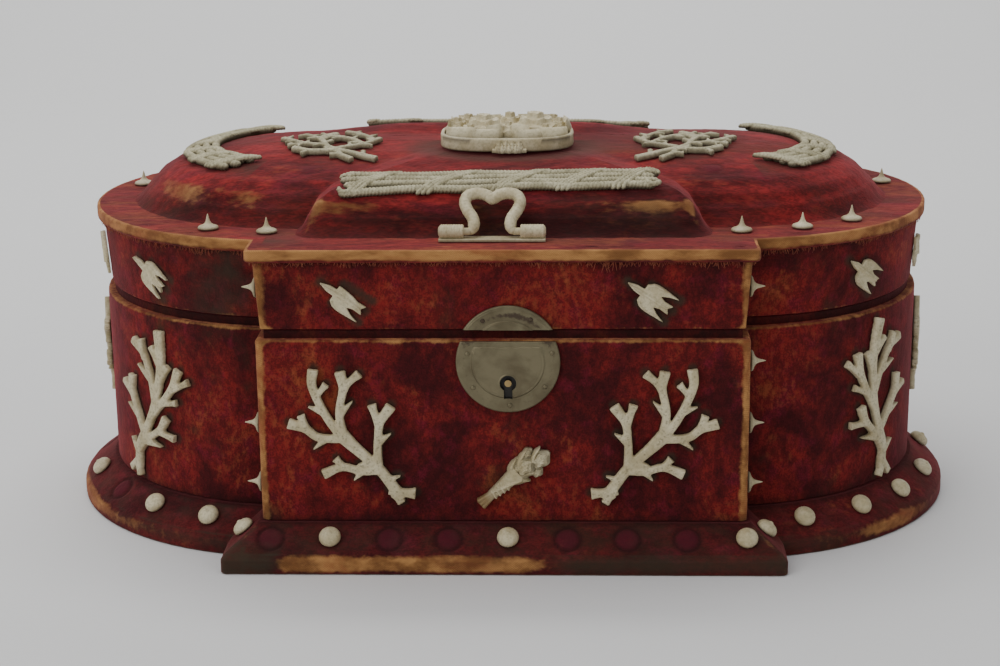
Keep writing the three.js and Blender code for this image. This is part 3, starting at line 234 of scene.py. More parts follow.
def rope(path, radius, pitch, depth, ply=3, sides=12, up=(0, 0, 1)):
    """Twisted strand: a tube whose radius swells ply times round, the swelling turning along the path."""
    run = np.gradient(path, axis=0)
    run /= np.linalg.norm(run, axis=1, keepdims=True)
    side = np.cross(run, np.asarray(up, float))
    side /= np.linalg.norm(side, axis=1, keepdims=True)
    over = np.cross(side, run)
    s = np.concatenate([[0], np.cumsum(np.linalg.norm(np.diff(path, axis=0), axis=1))])
    a = np.linspace(0, 2 * np.pi, sides, endpoint=False)
    twist = 1 + depth * np.cos(ply * (a[None] - 2 * np.pi * s[:, None] / (pitch * ply)))
    end = np.minimum(s, s[-1] - s) / (2 * radius) + 0.02
    close = np.sqrt(1 - (1 - np.clip(end, 0, 1)) ** 2)
    size = radius * twist * close[:, None]
    grid = path[:, None] + size[..., None] * (
        np.cos(a)[None, :, None] * side[:, None] + np.sin(a)[None, :, None] * over[:, None])
    return skin(grid[:, ::-1])


def waves(points, size, seed, count=14):
    """Smooth unevenness from -1 to 1: the mean of sine waves of many directions, about one size long."""
    g = np.random.default_rng(seed)
    directions = g.normal(size=(count, points.shape[-1]))
    lengths = np.linalg.norm(directions, axis=1)[:, None]
    directions *= (2 * np.pi / size) * g.uniform(0.6, 1.6, (count, 1)) / lengths
    return np.sin(points @ directions.T + g.uniform(0, 6.3, count)).mean(-1) * 2.0


# Plan of the box

BODY_PLAN = (BODY_RADIUS, BLOCK_HALF, BLOCK_DEPTH, 2.5)
DOME_PLAN = (64.0, 75.0, 81.0, 9.0)


def plan_rings(plan, offset, fine=1.0):
    """Outline of the plan grown by each offset, from the middle of the back, counter-clockwise.

    The right half is the block's front, its corner arc, its side, and the bow's arc; the left mirrors it.
    """
    off = np.atleast_1d(np.asarray(offset, float))[:, None]
    radius, half, depth = plan[0] + off, plan[1] + off, plan[2] + off
    corner = np.maximum(plan[3] + np.minimum(off, 0), 0.5)

    def share(count, dense=1.0):
        s = np.linspace(0, 1, max(int(count * fine), 3), endpoint=False)[None]
        return 1 - (1 - s) ** dense

    past = half - BOW_X
    bulging = plan[1] > BOW_X
    start = -np.arccos(np.clip(past / radius, 0, 1)) if bulging else -np.pi / 2 + 0 * off
    inner_y = radius * np.sin(start) if bulging else -radius
    s = share(90, 1.4)
    front = (half - corner) * s, -depth + 0 * s
    a = -np.pi / 2 * (1 - share(10))
    arc = half - corner + corner * np.cos(a), -depth + corner + corner * np.sin(a)
    s = share(26)
    side = half + 0 * s, (-depth + corner) * (1 - s) + inner_y * s
    parts = [front, arc, side]
    if not bulging:
        s = share(8)
        parts.append((half * (1 - s) + BOW_X * s, -radius + 0 * s))
    s = share(190)
    a = start * (1 - s) + np.pi / 2 * s
    parts.append((BOW_X + radius * np.cos(a), radius * np.sin(a)))
    s = share(70)
    parts.append((BOW_X * (1 - s) + 0 * off, radius + 0 * s))
    x = np.concatenate([np.broadcast_to(p[0], (len(off), p[0].shape[1])) for p in parts], 1)
    y = np.concatenate([np.broadcast_to(p[1], (len(off), p[1].shape[1])) for p in parts], 1)
    right = np.stack([x, y], -1)
    middle_back = np.stack([0 * radius, radius], -1)
    left = right[:, 1:][:, ::-1] * [-1, 1]
    return np.concatenate([middle_back, left, right], 1)


def run_length(ring):
    """Length along a closed ring, with one value more for the closing step."""
    steps = np.linalg.norm(np.diff(np.concatenate([ring, ring[:1]]), axis=0), axis=1)
    return np.concatenate([[0], np.cumsum(steps)])


def ringed(plan, profile, fine=1.0):
    """A profile of (offset, height) carried round the plan, with UVs of length round and length up."""
    profile = np.asarray(profile, float)
    rings = plan_rings(plan, profile[:, 0], fine)
    grid = np.concatenate([rings, np.broadcast_to(profile[:, None, 1:2], rings.shape[:2] + (1,))], -1)
    along = run_length(rings[0])
    up = np.concatenate([[0], np.cumsum(np.linalg.norm(np.diff(profile, axis=0), axis=1))])
    uv = np.stack(np.broadcast_arrays(along[None], up[:, None]), -1)
    return grid, uv


def fillet(corners, step=0.6):
    """Profile through corners given as (offset, height, radius), each corner rounded by its radius."""
    points = []
    p = np.asarray([c[:2] for c in corners], float)
    for i, (x, z, radius) in enumerate(corners):
        if i in (0, len(corners) - 1) or radius == 0:
            points.append([[x, z]])
            continue
        back, ahead = p[i - 1] - p[i], p[i + 1] - p[i]
        lb, la = np.linalg.norm(back), np.linalg.norm(ahead)
        turn = np.arccos(np.clip(back @ ahead / lb / la, -1, 1))
        cut = min(radius / np.tan(turn / 2), 0.49 * lb, 0.49 * la)
        start, end = p[i] + back / lb * cut, p[i] + ahead / la * cut
        t = np.linspace(0, 1, 7)[:, None]
        points.append((1 - t) ** 2 * start + 2 * t * (1 - t) * p[i] + t ** 2 * end)
    rough = np.concatenate(points)
    out = [rough[:1]]
    for a, b in zip(rough[:-1], rough[1:]):
        n = max(int(np.ceil(np.linalg.norm(b - a) / step)), 1)
        out.append(a + (b - a) * np.linspace(0, 1, n + 1)[1:, None])
    return np.concatenate(out)


def near(x, centre, width):
    """Bell-shaped mask, 1 at the centre."""
    return np.exp(-((x - centre) / width) ** 2)


def corner_mask(grid, half, depth, width):
    """Bell over the block's two upright edges."""
    return np.exp(-(np.hypot(np.abs(grid[..., 0]) - half, grid[..., 1] + depth) / width) ** 2)


# Surfaces that carry ornaments

def lid_inset(z):
    return LID_TAPER * (LID_TOP - z) / (LID_TOP - LID_BOTTOM)


def on_front(u, v, w):
    return np.stack([u, -(BLOCK_DEPTH + GAP + w) + 0 * u, v + 0 * u], -1)


def on_lid_front(u, v, w):
    return np.stack([u, -(BLOCK_DEPTH - lid_inset(v) + GAP + w), v + 0 * u], -1)


def on_bow(side, degrees):
    def place(u, v, w):
        a = np.radians(degrees) + side * u / BODY_RADIUS
        reach = BODY_RADIUS + GAP + w
        return np.stack([side * (BOW_X + reach * np.sin(a)), -reach * np.cos(a), v], -1)
    return place


def on_lid_bow(side, degrees):
    a = np.radians(degrees)

    def place(u, v, w):
        reach = BODY_RADIUS - lid_inset(v) + GAP + w
        x = side * (BOW_X + reach * np.sin(a)) + np.cos(a) * u
        return np.stack([x, -reach * np.cos(a) + side * np.sin(a) * u, v], -1)
    return place


def dome_inset(x, y):
    """Distance in from the dome's outline: from the round-ended plan, or from the front block's if more."""
    bow = DOME_PLAN[0] - np.hypot(np.maximum(np.abs(x) - BOW_X, 0), y)
    block = np.minimum(DOME_PLAN[1] - np.abs(x), DOME_PLAN[2] + y)
    return np.where(y > 0, bow, np.maximum(bow, block))


def dome_z(x, y):
    inset = dome_inset(x, y)
    return DOME_FOOT + np.interp(inset, DOME_RISE[:, 0], DOME_RISE[:, 1]) + crown_lift(x, y, inset)


def crown_lift(x, y, inset):
    """The stuffing is fuller behind the middle: a swelling from nothing at the ends and the outline."""
    behind = np.clip((y - 6.3) / 19, 0, 1)
    across = np.clip((78 - np.abs(x + 8)) / 46, 0, 1)
    across = 3 * across ** 2 - 2 * across ** 3
    return 3.4 * (3 * behind ** 2 - 2 * behind ** 3) * np.interp(inset, [8, 22, 36], [0, 0.7, 1]) * across


def on_dome(u, v, w):
    return np.stack([u + 0 * w, v + 0 * w, dome_z(u, v) + GAP + w], -1)


def moved(place, du=0.0, dv=0.0, dw=0.0, degrees=0.0):
    """The same surface with the drawing turned, then shifted."""
    c, s = np.cos(np.radians(degrees)), np.sin(np.radians(degrees))
    return lambda u, v, w: place(du + u * c - v * s, dv + u * s + v * c, w + dw)


# Shader node groups

def node(tree, kind, inputs=(), **settings):
    """New node; an input is a value or the socket that feeds it."""
    made = tree.nodes.new(kind)
    for key, value in settings.items():
        setattr(made, key, value)
    for key, value in dict(inputs).items():
        if isinstance(value, bpy.types.NodeSocket):
            tree.links.new(value, made.inputs[key])
        else:
            made.inputs[key].default_value = value
    return made


def math(tree, operation, a, b=0.5, c=0.0, clamp=False):
    return node(tree, "ShaderNodeMath", {0: a, 1: b, 2: c}, operation=operation, use_clamp=clamp).outputs[0]


def step(tree, value, low, high, smooth=True):
    """0 below low, 1 above high, easy between."""
    ranged = node(tree, "ShaderNodeMapRange", {"Value": value, "From Min": low, "From Max": high},
                  interpolation_type="SMOOTHSTEP" if smooth else "LINEAR")
    return ranged.outputs[0]


def noise(tree, vector, scale, detail=4.0, rough=0.55, distortion=0.0):
    return node(tree, "ShaderNodeTexNoise", {"Vector": vector, "Scale": scale, "Detail": detail,
                                            "Roughness": rough, "Distortion": distortion}).outputs["Fac"]


def mix(tree, factor, a, b, blend="MIX"):
    made = node(tree, "ShaderNodeMix", {0: factor}, data_type="RGBA", blend_type=blend)
    for socket, value in ((made.inputs[6], a), (made.inputs[7], b)):
        if isinstance(value, bpy.types.NodeSocket):
            tree.links.new(value, socket)
        else:
            socket.default_value = (*value, 1)
    return made.outputs[2]


def effect(name, inputs, outputs):
    """Empty node group with named sockets; gives the tree, its inputs and its output node."""
    tree = bpy.data.node_groups.new(name, "ShaderNodeTree")
    for label, kind in inputs:
        tree.interface.new_socket(label, in_out="INPUT", socket_type="NodeSocket" + kind)
    for label in outputs:
        tree.interface.new_socket(label, in_out="OUTPUT", socket_type="NodeSocketFloat")
    into = tree.nodes.new("NodeGroupInput")
    out = tree.nodes.new("NodeGroupOutput")
    return tree, into.outputs, out.inputs


def use(tree, group, inputs):
    made = tree.nodes.new("ShaderNodeGroup")
    made.node_tree = group
    for key, value in inputs.items():
        if isinstance(value, bpy.types.NodeSocket):
            tree.links.new(value, made.inputs[key])
        else:
            made.inputs[key].default_value = value
    return made.outputs


def make_pile_wear():
    """Where velvet has lost its pile: bare at the edges, thin in clouds, soiled in others."""
    tree, into, out = effect("pile_wear", [("Vector", "Vector"), ("Edge", "Float"), ("Thin Scale", "Float"),
                                           ("Thin Level", "Float"), ("Soil Level", "Float")],
                             ["Bare", "Thin", "Soil", "Nap", "Height"])
    v = into["Vector"]
    drawn = node(tree, "ShaderNodeMapping", {"Vector": v, "Scale": (1, 1, 0.75)}).outputs[0]
    clouds = noise(tree, v, into["Thin Scale"], 7, 0.66, 0.6)
    patches = noise(tree, drawn, 95, 5, 0.6)
    streaks = noise(tree, drawn, 520, 3, 0.6)
    threads = noise(tree, v, 1600, 2, 0.5)
    ragged = math(tree, "ADD", math(tree, "MULTIPLY", math(tree, "SUBTRACT", patches, 0.5), 1.1),
                  math(tree, "MULTIPLY", math(tree, "SUBTRACT", streaks, 0.5), 0.9))
    edge = math(tree, "MULTIPLY_ADD", ragged, math(tree, "MULTIPLY_ADD", into["Edge"], -0.5, 0.9), into["Edge"])
    tree.links.new(step(tree, edge, 0.38, 0.78), out["Bare"])
    cloudy = math(tree, "ADD", math(tree, "MULTIPLY", clouds, 0.7), math(tree, "MULTIPLY", patches, 0.3))
    cloudy = math(tree, "MULTIPLY_ADD", math(tree, "SUBTRACT", streaks, 0.5), 0.28, cloudy)
    thin_top = math(tree, "ADD", into["Thin Level"], 0.16)
    thin = node(tree, "ShaderNodeMapRange", {"Value": cloudy, "From Min": into["Thin Level"],
                                             "From Max": thin_top},
                interpolation_type="SMOOTHSTEP").outputs[0]
    tree.links.new(thin, out["Thin"])
    away = node(tree, "ShaderNodeMapping", {"Vector": v, "Location": (0.31, 0.17, 0.23)}).outputs[0]
    dirt = noise(tree, away, 26, 6, 0.68, 0.4)
    dirt = math(tree, "MULTIPLY_ADD", math(tree, "SUBTRACT", patches, 0.5), 0.35, dirt)
    soil_top = math(tree, "ADD", into["Soil Level"], 0.2)
    soil = node(tree, "ShaderNodeMapRange", {"Value": dirt, "From Min": into["Soil Level"],
                                             "From Max": soil_top},
                interpolation_type="SMOOTHSTEP").outputs[0]
    tree.links.new(soil, out["Soil"])
    nap = math(tree, "ADD", math(tree, "MULTIPLY", streaks, 0.55), math(tree, "MULTIPLY", threads, 0.45))
    tree.links.new(nap, out["Nap"])
    height = math(tree, "MULTIPLY_ADD", thin, -0.25, nap)
    tree.links.new(height, out["Height"])
    return tree


def make_twill():
    """Diagonal ribs of the bared backing cloth, crossed by its finer threads."""
    tree, into, out = effect("twill", [("Vector", "Vector"), ("Pitch", "Float")], ["Rib", "Height"])
    parts = node(tree, "ShaderNodeSeparateXYZ", {0: into["Vector"]}).outputs
    turns = math(tree, "DIVIDE", 6.2832, into["Pitch"])
    wobble = noise(tree, into["Vector"], 300, 2, 0.5)
    diagonal = math(tree, "ADD", parts[0], parts[1])
    phase = math(tree, "MULTIPLY_ADD", diagonal, turns, math(tree, "MULTIPLY", wobble, 2.4))
    rib = math(tree, "MULTIPLY_ADD", math(tree, "SINE", phase, 0), 0.5, 0.5)
    finer = math(tree, "MULTIPLY", turns, 2.3)
    across = math(tree, "MULTIPLY", math(tree, "SUBTRACT", parts[0], parts[1]), finer)
    cross = math(tree, "MULTIPLY_ADD", math(tree, "SINE", across, 0), 0.5, 0.5)
    tree.links.new(rib, out["Rib"])
    tree.links.new(math(tree, "MULTIPLY_ADD", cross, 0.4, rib), out["Height"])
    return tree


def make_grime():
    """Dust and handling dirt: broad clouds, fine speckle and thin scratches."""
    tree, into, out = effect("grime", [("Vector", "Vector"), ("Scale", "Float")],
                             ["Cloud", "Speckle", "Scratch"])
    v = into["Vector"]
    tree.links.new(noise(tree, v, into["Scale"], 5, 0.6, 0.3), out["Cloud"])
    tree.links.new(noise(tree, v, math(tree, "MULTIPLY", into["Scale"], 9.0), 4, 0.65), out["Speckle"])
    drawn = node(tree, "ShaderNodeMapping", {"Vector": v, "Scale": (1, 1, 16),
                                             "Rotation": (0.1, 0.2, 0.4)}).outputs[0]
    tree.links.new(noise(tree, drawn, math(tree, "MULTIPLY", into["Scale"], 2.2), 3, 0.7), out["Scratch"])
    return tree


pile_wear = make_pile_wear()
twill = make_twill()
grime = make_grime()


# Materials

def blank(name):
    material = bpy.data.materials.new(name)
    material.use_nodes = True
    tree = material.node_tree
    tree.nodes.clear()
    shader = node(tree, "ShaderNodeBsdfPrincipled")
    out = node(tree, "ShaderNodeOutputMaterial")
    tree.links.new(shader.outputs[0], out.inputs[0])
    return material, tree, shader


def bumped(tree, shader, height, strength, distance):
    bump = node(tree, "ShaderNodeBump", {"Height": height, "Strength": strength, "Distance": distance})
    tree.links.new(bump.outputs[0], shader.inputs["Normal"])


def place_of(tree):
    return node(tree, "ShaderNodeTexCoord").outputs["Object"]


def mask_of(tree, name):
    return node(tree, "ShaderNodeAttribute", attribute_name=name).outputs["Fac"]


PINK = (0.17, 0.01, 0.026)
THIN = (0.2, 0.06, 0.022)
RUST = (0.3, 0.085, 0.028)
SOIL = (0.034, 0.017, 0.01)
PRINT = (0.075, 0.007, 0.016)
GOLD = (0.5, 0.25, 0.085)
GOLD_WORN = (0.2, 0.085, 0.028)
GOLD_RED = (0.27, 0.07, 0.03)
# Dirt colours, also used as painted shade round the carvings and on the dome's lower slopes
DIRT_AND_SHADE_GREEN = (0.036, 0.031, 0.02)
DIRT_AND_SHADE_BROWN = (0.05, 0.027, 0.017)


def velvet(name, deep, bright, thin_level, soil_level, thin_scale=34.0, stretch=(1, 1, 1), sheen=0.35):
    """Cut pile over a golden backing cloth, with bare edges, thin clouds, soiled patches and painted shade."""
    material, tree, shader = blank(name)
    where = place_of(tree)
    drawn = node(tree, "ShaderNodeMapping", {"Vector": where, "Scale": stretch}).outputs[0]
    wear = use(tree, pile_wear, {"Vector": drawn, "Edge": mask_of(tree, "worn"), "Thin Scale": thin_scale,
                                 "Thin Level": thin_level, "Soil Level": soil_level})
    ribs = use(tree, twill, {"Vector": node(tree, "ShaderNodeUVMap").outputs[0], "Pitch": 0.0008})
    tone = noise(tree, drawn, 34, 6, 0.68, 0.4)
    hue = noise(tree, drawn, 120, 5, 0.62)
    colour = mix(tree, step(tree, tone, 0.38, 0.64), deep, bright)
    colour = mix(tree, math(tree, "MULTIPLY", step(tree, hue, 0.5, 0.68), 0.55), colour, PINK)
    thinned = mix(tree, step(tree, hue, 0.4, 0.6), THIN, RUST)
    colour = mix(tree, math(tree, "MULTIPLY", wear["Thin"], 0.62), colour, thinned)
    # Painted shade between the tufts: half way to near-black where the nap noise is low
    between_tufts = mix(tree, 0.5, colour, (0.012, 0.003, 0.003))
    colour = mix(tree, step(tree, wear["Nap"], 0.4, 0.6), between_tufts, colour)
    colour = mix(tree, math(tree, "MULTIPLY", wear["Soil"], 0.75), colour, SOIL)
    colour = mix(tree, math(tree, "MULTIPLY", mask_of(tree, "print"), 0.75), colour, PRINT)
    bare = math(tree, "MULTIPLY", wear["Bare"], math(tree, "MULTIPLY_ADD", wear["Soil"], -0.4, 1.0))
    golden = mix(tree, step(tree, hue, 0.36, 0.62), GOLD_WORN, GOLD)
    golden = mix(tree, math(tree, "MULTIPLY", step(tree, tone, 0.5, 0.68), 0.75), golden, GOLD_RED)
    golden = mix(tree, math(tree, "MULTIPLY_ADD", ribs["Rib"], -0.3, 0.3), golden, GOLD_WORN)
    colour = mix(tree, bare, colour, golden)
    # The dirt mask darkens with real dirt, and with painted shade round the carvings and on the dome's lower
    # slopes
    dirt_and_shade = math(tree, "MULTIPLY", mask_of(tree, "dirt"), step(tree, math(
        tree, "MULTIPLY_ADD", mask_of(tree, "dirt"), 0.5, hue), 0.45, 0.8))
    colour = mix(tree, dirt_and_shade, colour, mix(tree, step(tree, tone, 0.35, 0.65), DIRT_AND_SHADE_GREEN, DIRT_AND_SHADE_BROWN))
    colour = mix(tree, math(tree, "MULTIPLY", mask_of(tree, "shade"), 0.8), colour, (0.012, 0.005, 0.004))
    tree.links.new(colour, shader.inputs["Base Color"])
    shader.inputs["Roughness"].default_value = 0.92
    shader.inputs["Specular IOR Level"].default_value = 0.18
    shader.inputs["Sheen Weight"].default_value = sheen
    shader.inputs["Sheen Roughness"].default_value = 0.42
    shader.inputs["Sheen Tint"].default_value = (0.85, 0.2, 0.22, 1)
    bare_ribs = math(tree, "MULTIPLY", wear["Bare"], ribs["Height"])
    height = math(tree, "MULTIPLY_ADD", bare_ribs, 0.3, wear["Height"])
    height = math(tree, "MULTIPLY_ADD", wear["Bare"], -0.5, height)
    bumped(tree, shader, height, 0.55, 0.0005)
    return material


def bone(name, light, dark, dust, dusty, rough=0.5):
    """Old bone: creamy, with dark brown painted shade low down and in the hollows, drilled pits along the
    middle of each twig, and dust.
    """
    material, tree, shader = blank(name)
    where = place_of(tree)
    dirt = use(tree, grime, {"Vector": where, "Scale": 110.0})
    colour = mix(tree, step(tree, dirt["Cloud"], 0.34, 0.7), light, dark)
    pits = node(tree, "ShaderNodeTexVoronoi", {"Vector": where, "Scale": 780.0}).outputs["Distance"]
    spine = mask_of(tree, "spine")
    pit = math(tree, "MULTIPLY", step(tree, pits, 0.36, 0.22), spine)
    colour = mix(tree, math(tree, "MULTIPLY", step(tree, dirt["Speckle"], 0.46, 0.64), dusty), colour, dust)
    colour = mix(tree, math(tree, "MULTIPLY", pit, 0.4), colour, (0.14, 0.12, 0.07))
    colour = mix(tree, math(tree, "MULTIPLY", mask_of(tree, "stalk"), 0.85), colour, (0.24, 0.14, 0.045))
    # Painted shade: the low mask darkens each carving near its foot and in its grooves
    low = mask_of(tree, "low")
    colour = mix(tree, math(tree, "MULTIPLY", low, 0.85), colour, (0.06, 0.042, 0.022))
    tree.links.new(colour, shader.inputs["Base Color"])
    shader.inputs["Roughness"].default_value = rough
    shader.inputs["Specular IOR Level"].default_value = 0.35
    height = math(tree, "MULTIPLY_ADD", pit, -1.0, math(tree, "MULTIPLY", dirt["Speckle"], 0.5))
    bumped(tree, shader, height, 0.5, 0.00035)
    return material


def metal(name, bright, dull, stain, stained, rough):
    """Sheet metal gone dull, with scratches and brown stains."""
    material, tree, shader = blank(name)
    where = place_of(tree)
    dirt = use(tree, grime, {"Vector": where, "Scale": 90.0})
    colour = mix(tree, step(tree, dirt["Cloud"], 0.35, 0.68), bright, dull)
    spots = math(tree, "MULTIPLY_ADD", mask_of(tree, "stain"), 0.55,
                 math(tree, "MULTIPLY", dirt["Speckle"], 0.6))
    spots = step(tree, spots, stained, stained + 0.22)
    colour = mix(tree, spots, colour, stain)
    tree.links.new(colour, shader.inputs["Base Color"])
    tree.links.new(math(tree, "MULTIPLY_ADD", spots, -0.55, 0.9), shader.inputs["Metallic"])
    tree.links.new(math(tree, "MULTIPLY_ADD", dirt["Scratch"], 0.2, rough), shader.inputs["Roughness"])
    bumped(tree, shader, math(tree, "ADD", dirt["Scratch"], dirt["Speckle"]), 0.12, 0.0002)
    return material


def plain(name, colour, other, scale, rough, bump=0.2):
    """Paper, lining, wood, and the near-black painted shade of the keyhole: two tones in clouds and a fine
    grain.
    """
    material, tree, shader = blank(name)
    where = place_of(tree)
    dirt = use(tree, grime, {"Vector": where, "Scale": scale})
    tone = mix(tree, step(tree, dirt["Cloud"], 0.36, 0.66), colour, other)
    tone = mix(tree, math(tree, "MULTIPLY", step(tree, dirt["Speckle"], 0.55, 0.7), 0.35), tone,
               tuple(0.4 * c for c in other))
    tree.links.new(tone, shader.inputs["Base Color"])
    shader.inputs["Roughness"].default_value = rough
    bumped(tree, shader, dirt["Speckle"], bump, 0.0003)
    return material


velvet_wall = velvet("velvet_wall", (0.06, 0.006, 0.007), (0.23, 0.017, 0.015), thin_level=0.53,
                     soil_level=0.57, stretch=(1, 1, 0.9))
velvet_plinth = velvet("velvet_plinth", (0.055, 0.007, 0.008), (0.13, 0.012, 0.013), thin_level=0.58,
                       soil_level=0.46, stretch=(0.6, 0.8, 1))
velvet_top = velvet("velvet_top", (0.06, 0.006, 0.007), (0.3, 0.022, 0.022), thin_level=0.54, soil_level=0.5,
                    thin_scale=30.0, stretch=(0.35, 0.8, 1.2), sheen=0.4)
velvet_board = velvet("velvet_board", (0.09, 0.01, 0.011), (0.3, 0.034, 0.026), thin_level=0.46, soil_level=0.5,
                      thin_scale=44.0, stretch=(0.35, 1, 1), sheen=0.35)
bone_clean = bone("bone_carved", (0.68, 0.6, 0.4), (0.47, 0.39, 0.22), (0.3, 0.26, 0.14), 0.4, 0.45)
bone_dusty = bone("bone_dusty", (0.55, 0.5, 0.33), (0.36, 0.32, 0.19), (0.17, 0.15, 0.09), 0.55, 0.65)
nickel = metal("nickel_dull", (0.22, 0.19, 0.115), (0.14, 0.115, 0.068), (0.06, 0.038, 0.02), 0.6, 0.36)
brass = metal("brass_aged", (0.5, 0.36, 0.16), (0.3, 0.2, 0.09), (0.08, 0.05, 0.03), 0.5, 0.4)
# Near-black for the keyhole: painted shade for the inside of the hole
keyhole_shade = plain("keyhole_painted_shade", (0.012, 0.01, 0.008), (0.02, 0.016, 0.012), 120, 0.6)
lining = plain("lining_paper", (0.5, 0.36, 0.3), (0.4, 0.27, 0.22), 18, 0.8)
under = plain("wood_underside", (0.14, 0.08, 0.045), (0.09, 0.05, 0.03), 30, 0.75, 0.4)
yarn = plain("frayed_yarn", (0.34, 0.1, 0.045), (0.2, 0.035, 0.02), 240, 0.95)


# Velvet-covered carcase

def covered(grid, uv, masks, slots, caps=True, cap_slots=(0, 0), ripple=0.12, seed=5):
    """Ringed surface with a slight unevenness of the cloth pushed along its own normals."""
    across = np.roll(grid, -1, 1) - np.roll(grid, 1, 1)
    rising = np.gradient(grid, axis=0)
    normal = np.cross(across, rising)
    normal /= np.linalg.norm(normal, axis=-1, keepdims=True) + 1e-9
    soft = masks.get("soft", np.ones(grid.shape[:2]))
    push = ripple * (waves(grid, 9, seed) * 0.6 + waves(grid, 2.6, seed + 1) * 0.4) - ripple
    grid = grid + normal * (push * soft + masks.get("relief", 0.0))[..., None]
    shown = {k: m for k, m in masks.items() if k not in ("soft", "relief")}
    shape = skin(grid, uv=uv, masks=shown, caps=caps)
    shape.slots = np.repeat(np.asarray(slots), grid.shape[1])
    if caps:
        shape.cap_slots = list(cap_slots)
    return shape


SLOPE_FOOT = 14.3 - 1.7
BEAD_ALONG = -87 + 22.2 * np.arange(9)
BEAD_ON_BOW = {-1: (21, 37.8, 54, 71.5, 94.5), 1: (21, 37.8, 54, 71.5, 94.5)}
BEAD_PRESENT = {-1: (21, 37.8, 71.5), 1: (21, 37.8, 54, 71.5, 94.5)}
BEAD_OFFSET = 1 + (SLOPE_FOOT - 1) / 2
BEAD_Z = 16 - (16 - 7.4) / 2


def lost_beads():
    """Middles of the round prints that lost beads left on the slope."""
    spots = [(x, -(BLOCK_DEPTH + BEAD_OFFSET)) for i, x in enumerate(BEAD_ALONG) if i not in (1, 4, 8)]
    for side in (-1, 1):
        reach = BODY_RADIUS + BEAD_OFFSET
        for degrees in set(BEAD_ON_BOW[side]) - set(BEAD_PRESENT[side]):
            a = np.radians(degrees)
            spots.append((side * (BOW_X + reach * np.sin(a)), -reach * np.cos(a)))
    return np.array([(x, y, BEAD_Z) for x, y in spots])


def prints(grid, spots, radius):
    """Round dents: a dark groove on the radius, the pile inside left fresh and a little raised."""
    relief = np.zeros(grid.shape[:2])
    fresh = np.zeros(grid.shape[:2])
    ringed_dark = np.zeros(grid.shape[:2])
    for spot in spots:
        away = np.linalg.norm(grid - spot, axis=-1)
        relief += -0.55 * near(away, radius, 0.8) + 0.25 * np.exp(-(away / (0.7 * radius)) ** 4)
        fresh += np.exp(-(away / radius) ** 6)
        ringed_dark += near(away, radius, 0.9)
    return relief, np.clip(fresh, 0, 1), np.clip(ringed_dark, 0, 1)


def ornament_dots(branches, height, hand, place):
    """Points all over a coral or a bird, where the velvet round it is darkened: gathered dirt and painted
    shade.
    """
    lines = [smooth_path(np.array(points) * height * [hand, 1], 10) for points, _ in branches]
    flat = np.concatenate(lines)
    return place(flat[:, 0], flat[:, 1], 0 * flat[:, 0])


def closeness(grid, dots, reach):
    """1 at the nearest dot, falling to 0 at the reach."""
    points = grid.reshape(-1, 3)
    away = np.concatenate([
        np.sqrt(((block[:, None] - dots[None]) ** 2).sum(-1).min(1)) for block in np.array_split(points, 60)])
    return np.clip(1.5 - 1.5 * away / reach, 0, 1).reshape(grid.shape[:2])


def make_plinth():
    profile = fillet([(-6, 0.02, 0), (13.9, 0.02, 0), (14.3, 0.5, 0.3), (14.25, 5.4, 1.2), (12.6, 7.4, 1.5),
                      (1.2, 16, 1.0), (-5, 16, 0)], 0.62)
    grid, uv = ringed(BODY_PLAN, profile, fine=1.6)
    relief, fresh, ring = prints(grid, lost_beads(), 4.9)
    offset, z = profile[:, 0][:, None], profile[:, 1][:, None]
    x, y = grid[..., 0], grid[..., 1]
    band = near(z, 4.2, 3.6) * (offset > 12)
    front = y < -104
    gold_front = np.clip((x + 88) / 8, 0, 1) * np.clip((24 - x) / 16, 0, 1)
    around = np.degrees(np.arctan2(np.maximum(np.abs(x) - BOW_X, 0), -y))
    gold_left = 0.9 * near(around, 66, 17) + 0.3
    gold_right = 0.75 * near(around, 46, 13) + 0.25
    kept = np.where(front, gold_front, np.where(x < 0, gold_left, gold_right))
    worn = band * (0.1 + 0.9 * kept)
    mitre = near(np.abs(x) + y, 105.6 - 115.2, 2.2) * (y < -100) * (z < 15) * (offset > 1.5)
    worn = np.clip(worn + 0.42 * mitre, 0, 1)
    patches = 0.35 + 0.65 * (waves(grid, 5, 47) > -0.1)
    corner_dirt = near(np.hypot(x + 104, y + 112), 0, 11) * (z < 11) * patches
    patchy = 0.5 + 0.5 * waves(grid, 15, 41)
    on_slope = 0.5 * patchy * (offset < 13) * (offset > 1.5) * np.where(x < 0, 1, 0.6)
    dirt = np.clip(band * (1 - kept) * 0.8 + corner_dirt * (0.5 + 0.4 * patchy) + 0.3 * mitre + on_slope, 0, 1)
    shade = np.clip(0.75 * np.exp(-((16.6 - z) / 1.6) ** 2) * (offset < 2.6) + 0.75 * ring, 0, 1)
    masks = {"worn": worn, "print": fresh, "shade": shade + 0 * worn, "relief": relief, "dirt": dirt,
             "soft": 1.0 * (offset > -3) + 0 * worn}
    slots = np.where(profile[:-1, 1] < 0.3, 1, 0)
    shape = covered(grid, uv, masks, slots, cap_slots=(1, 0), seed=3)
    piece("plinth_cover", shape, [velvet_plinth, under], "box", ["plinth"])


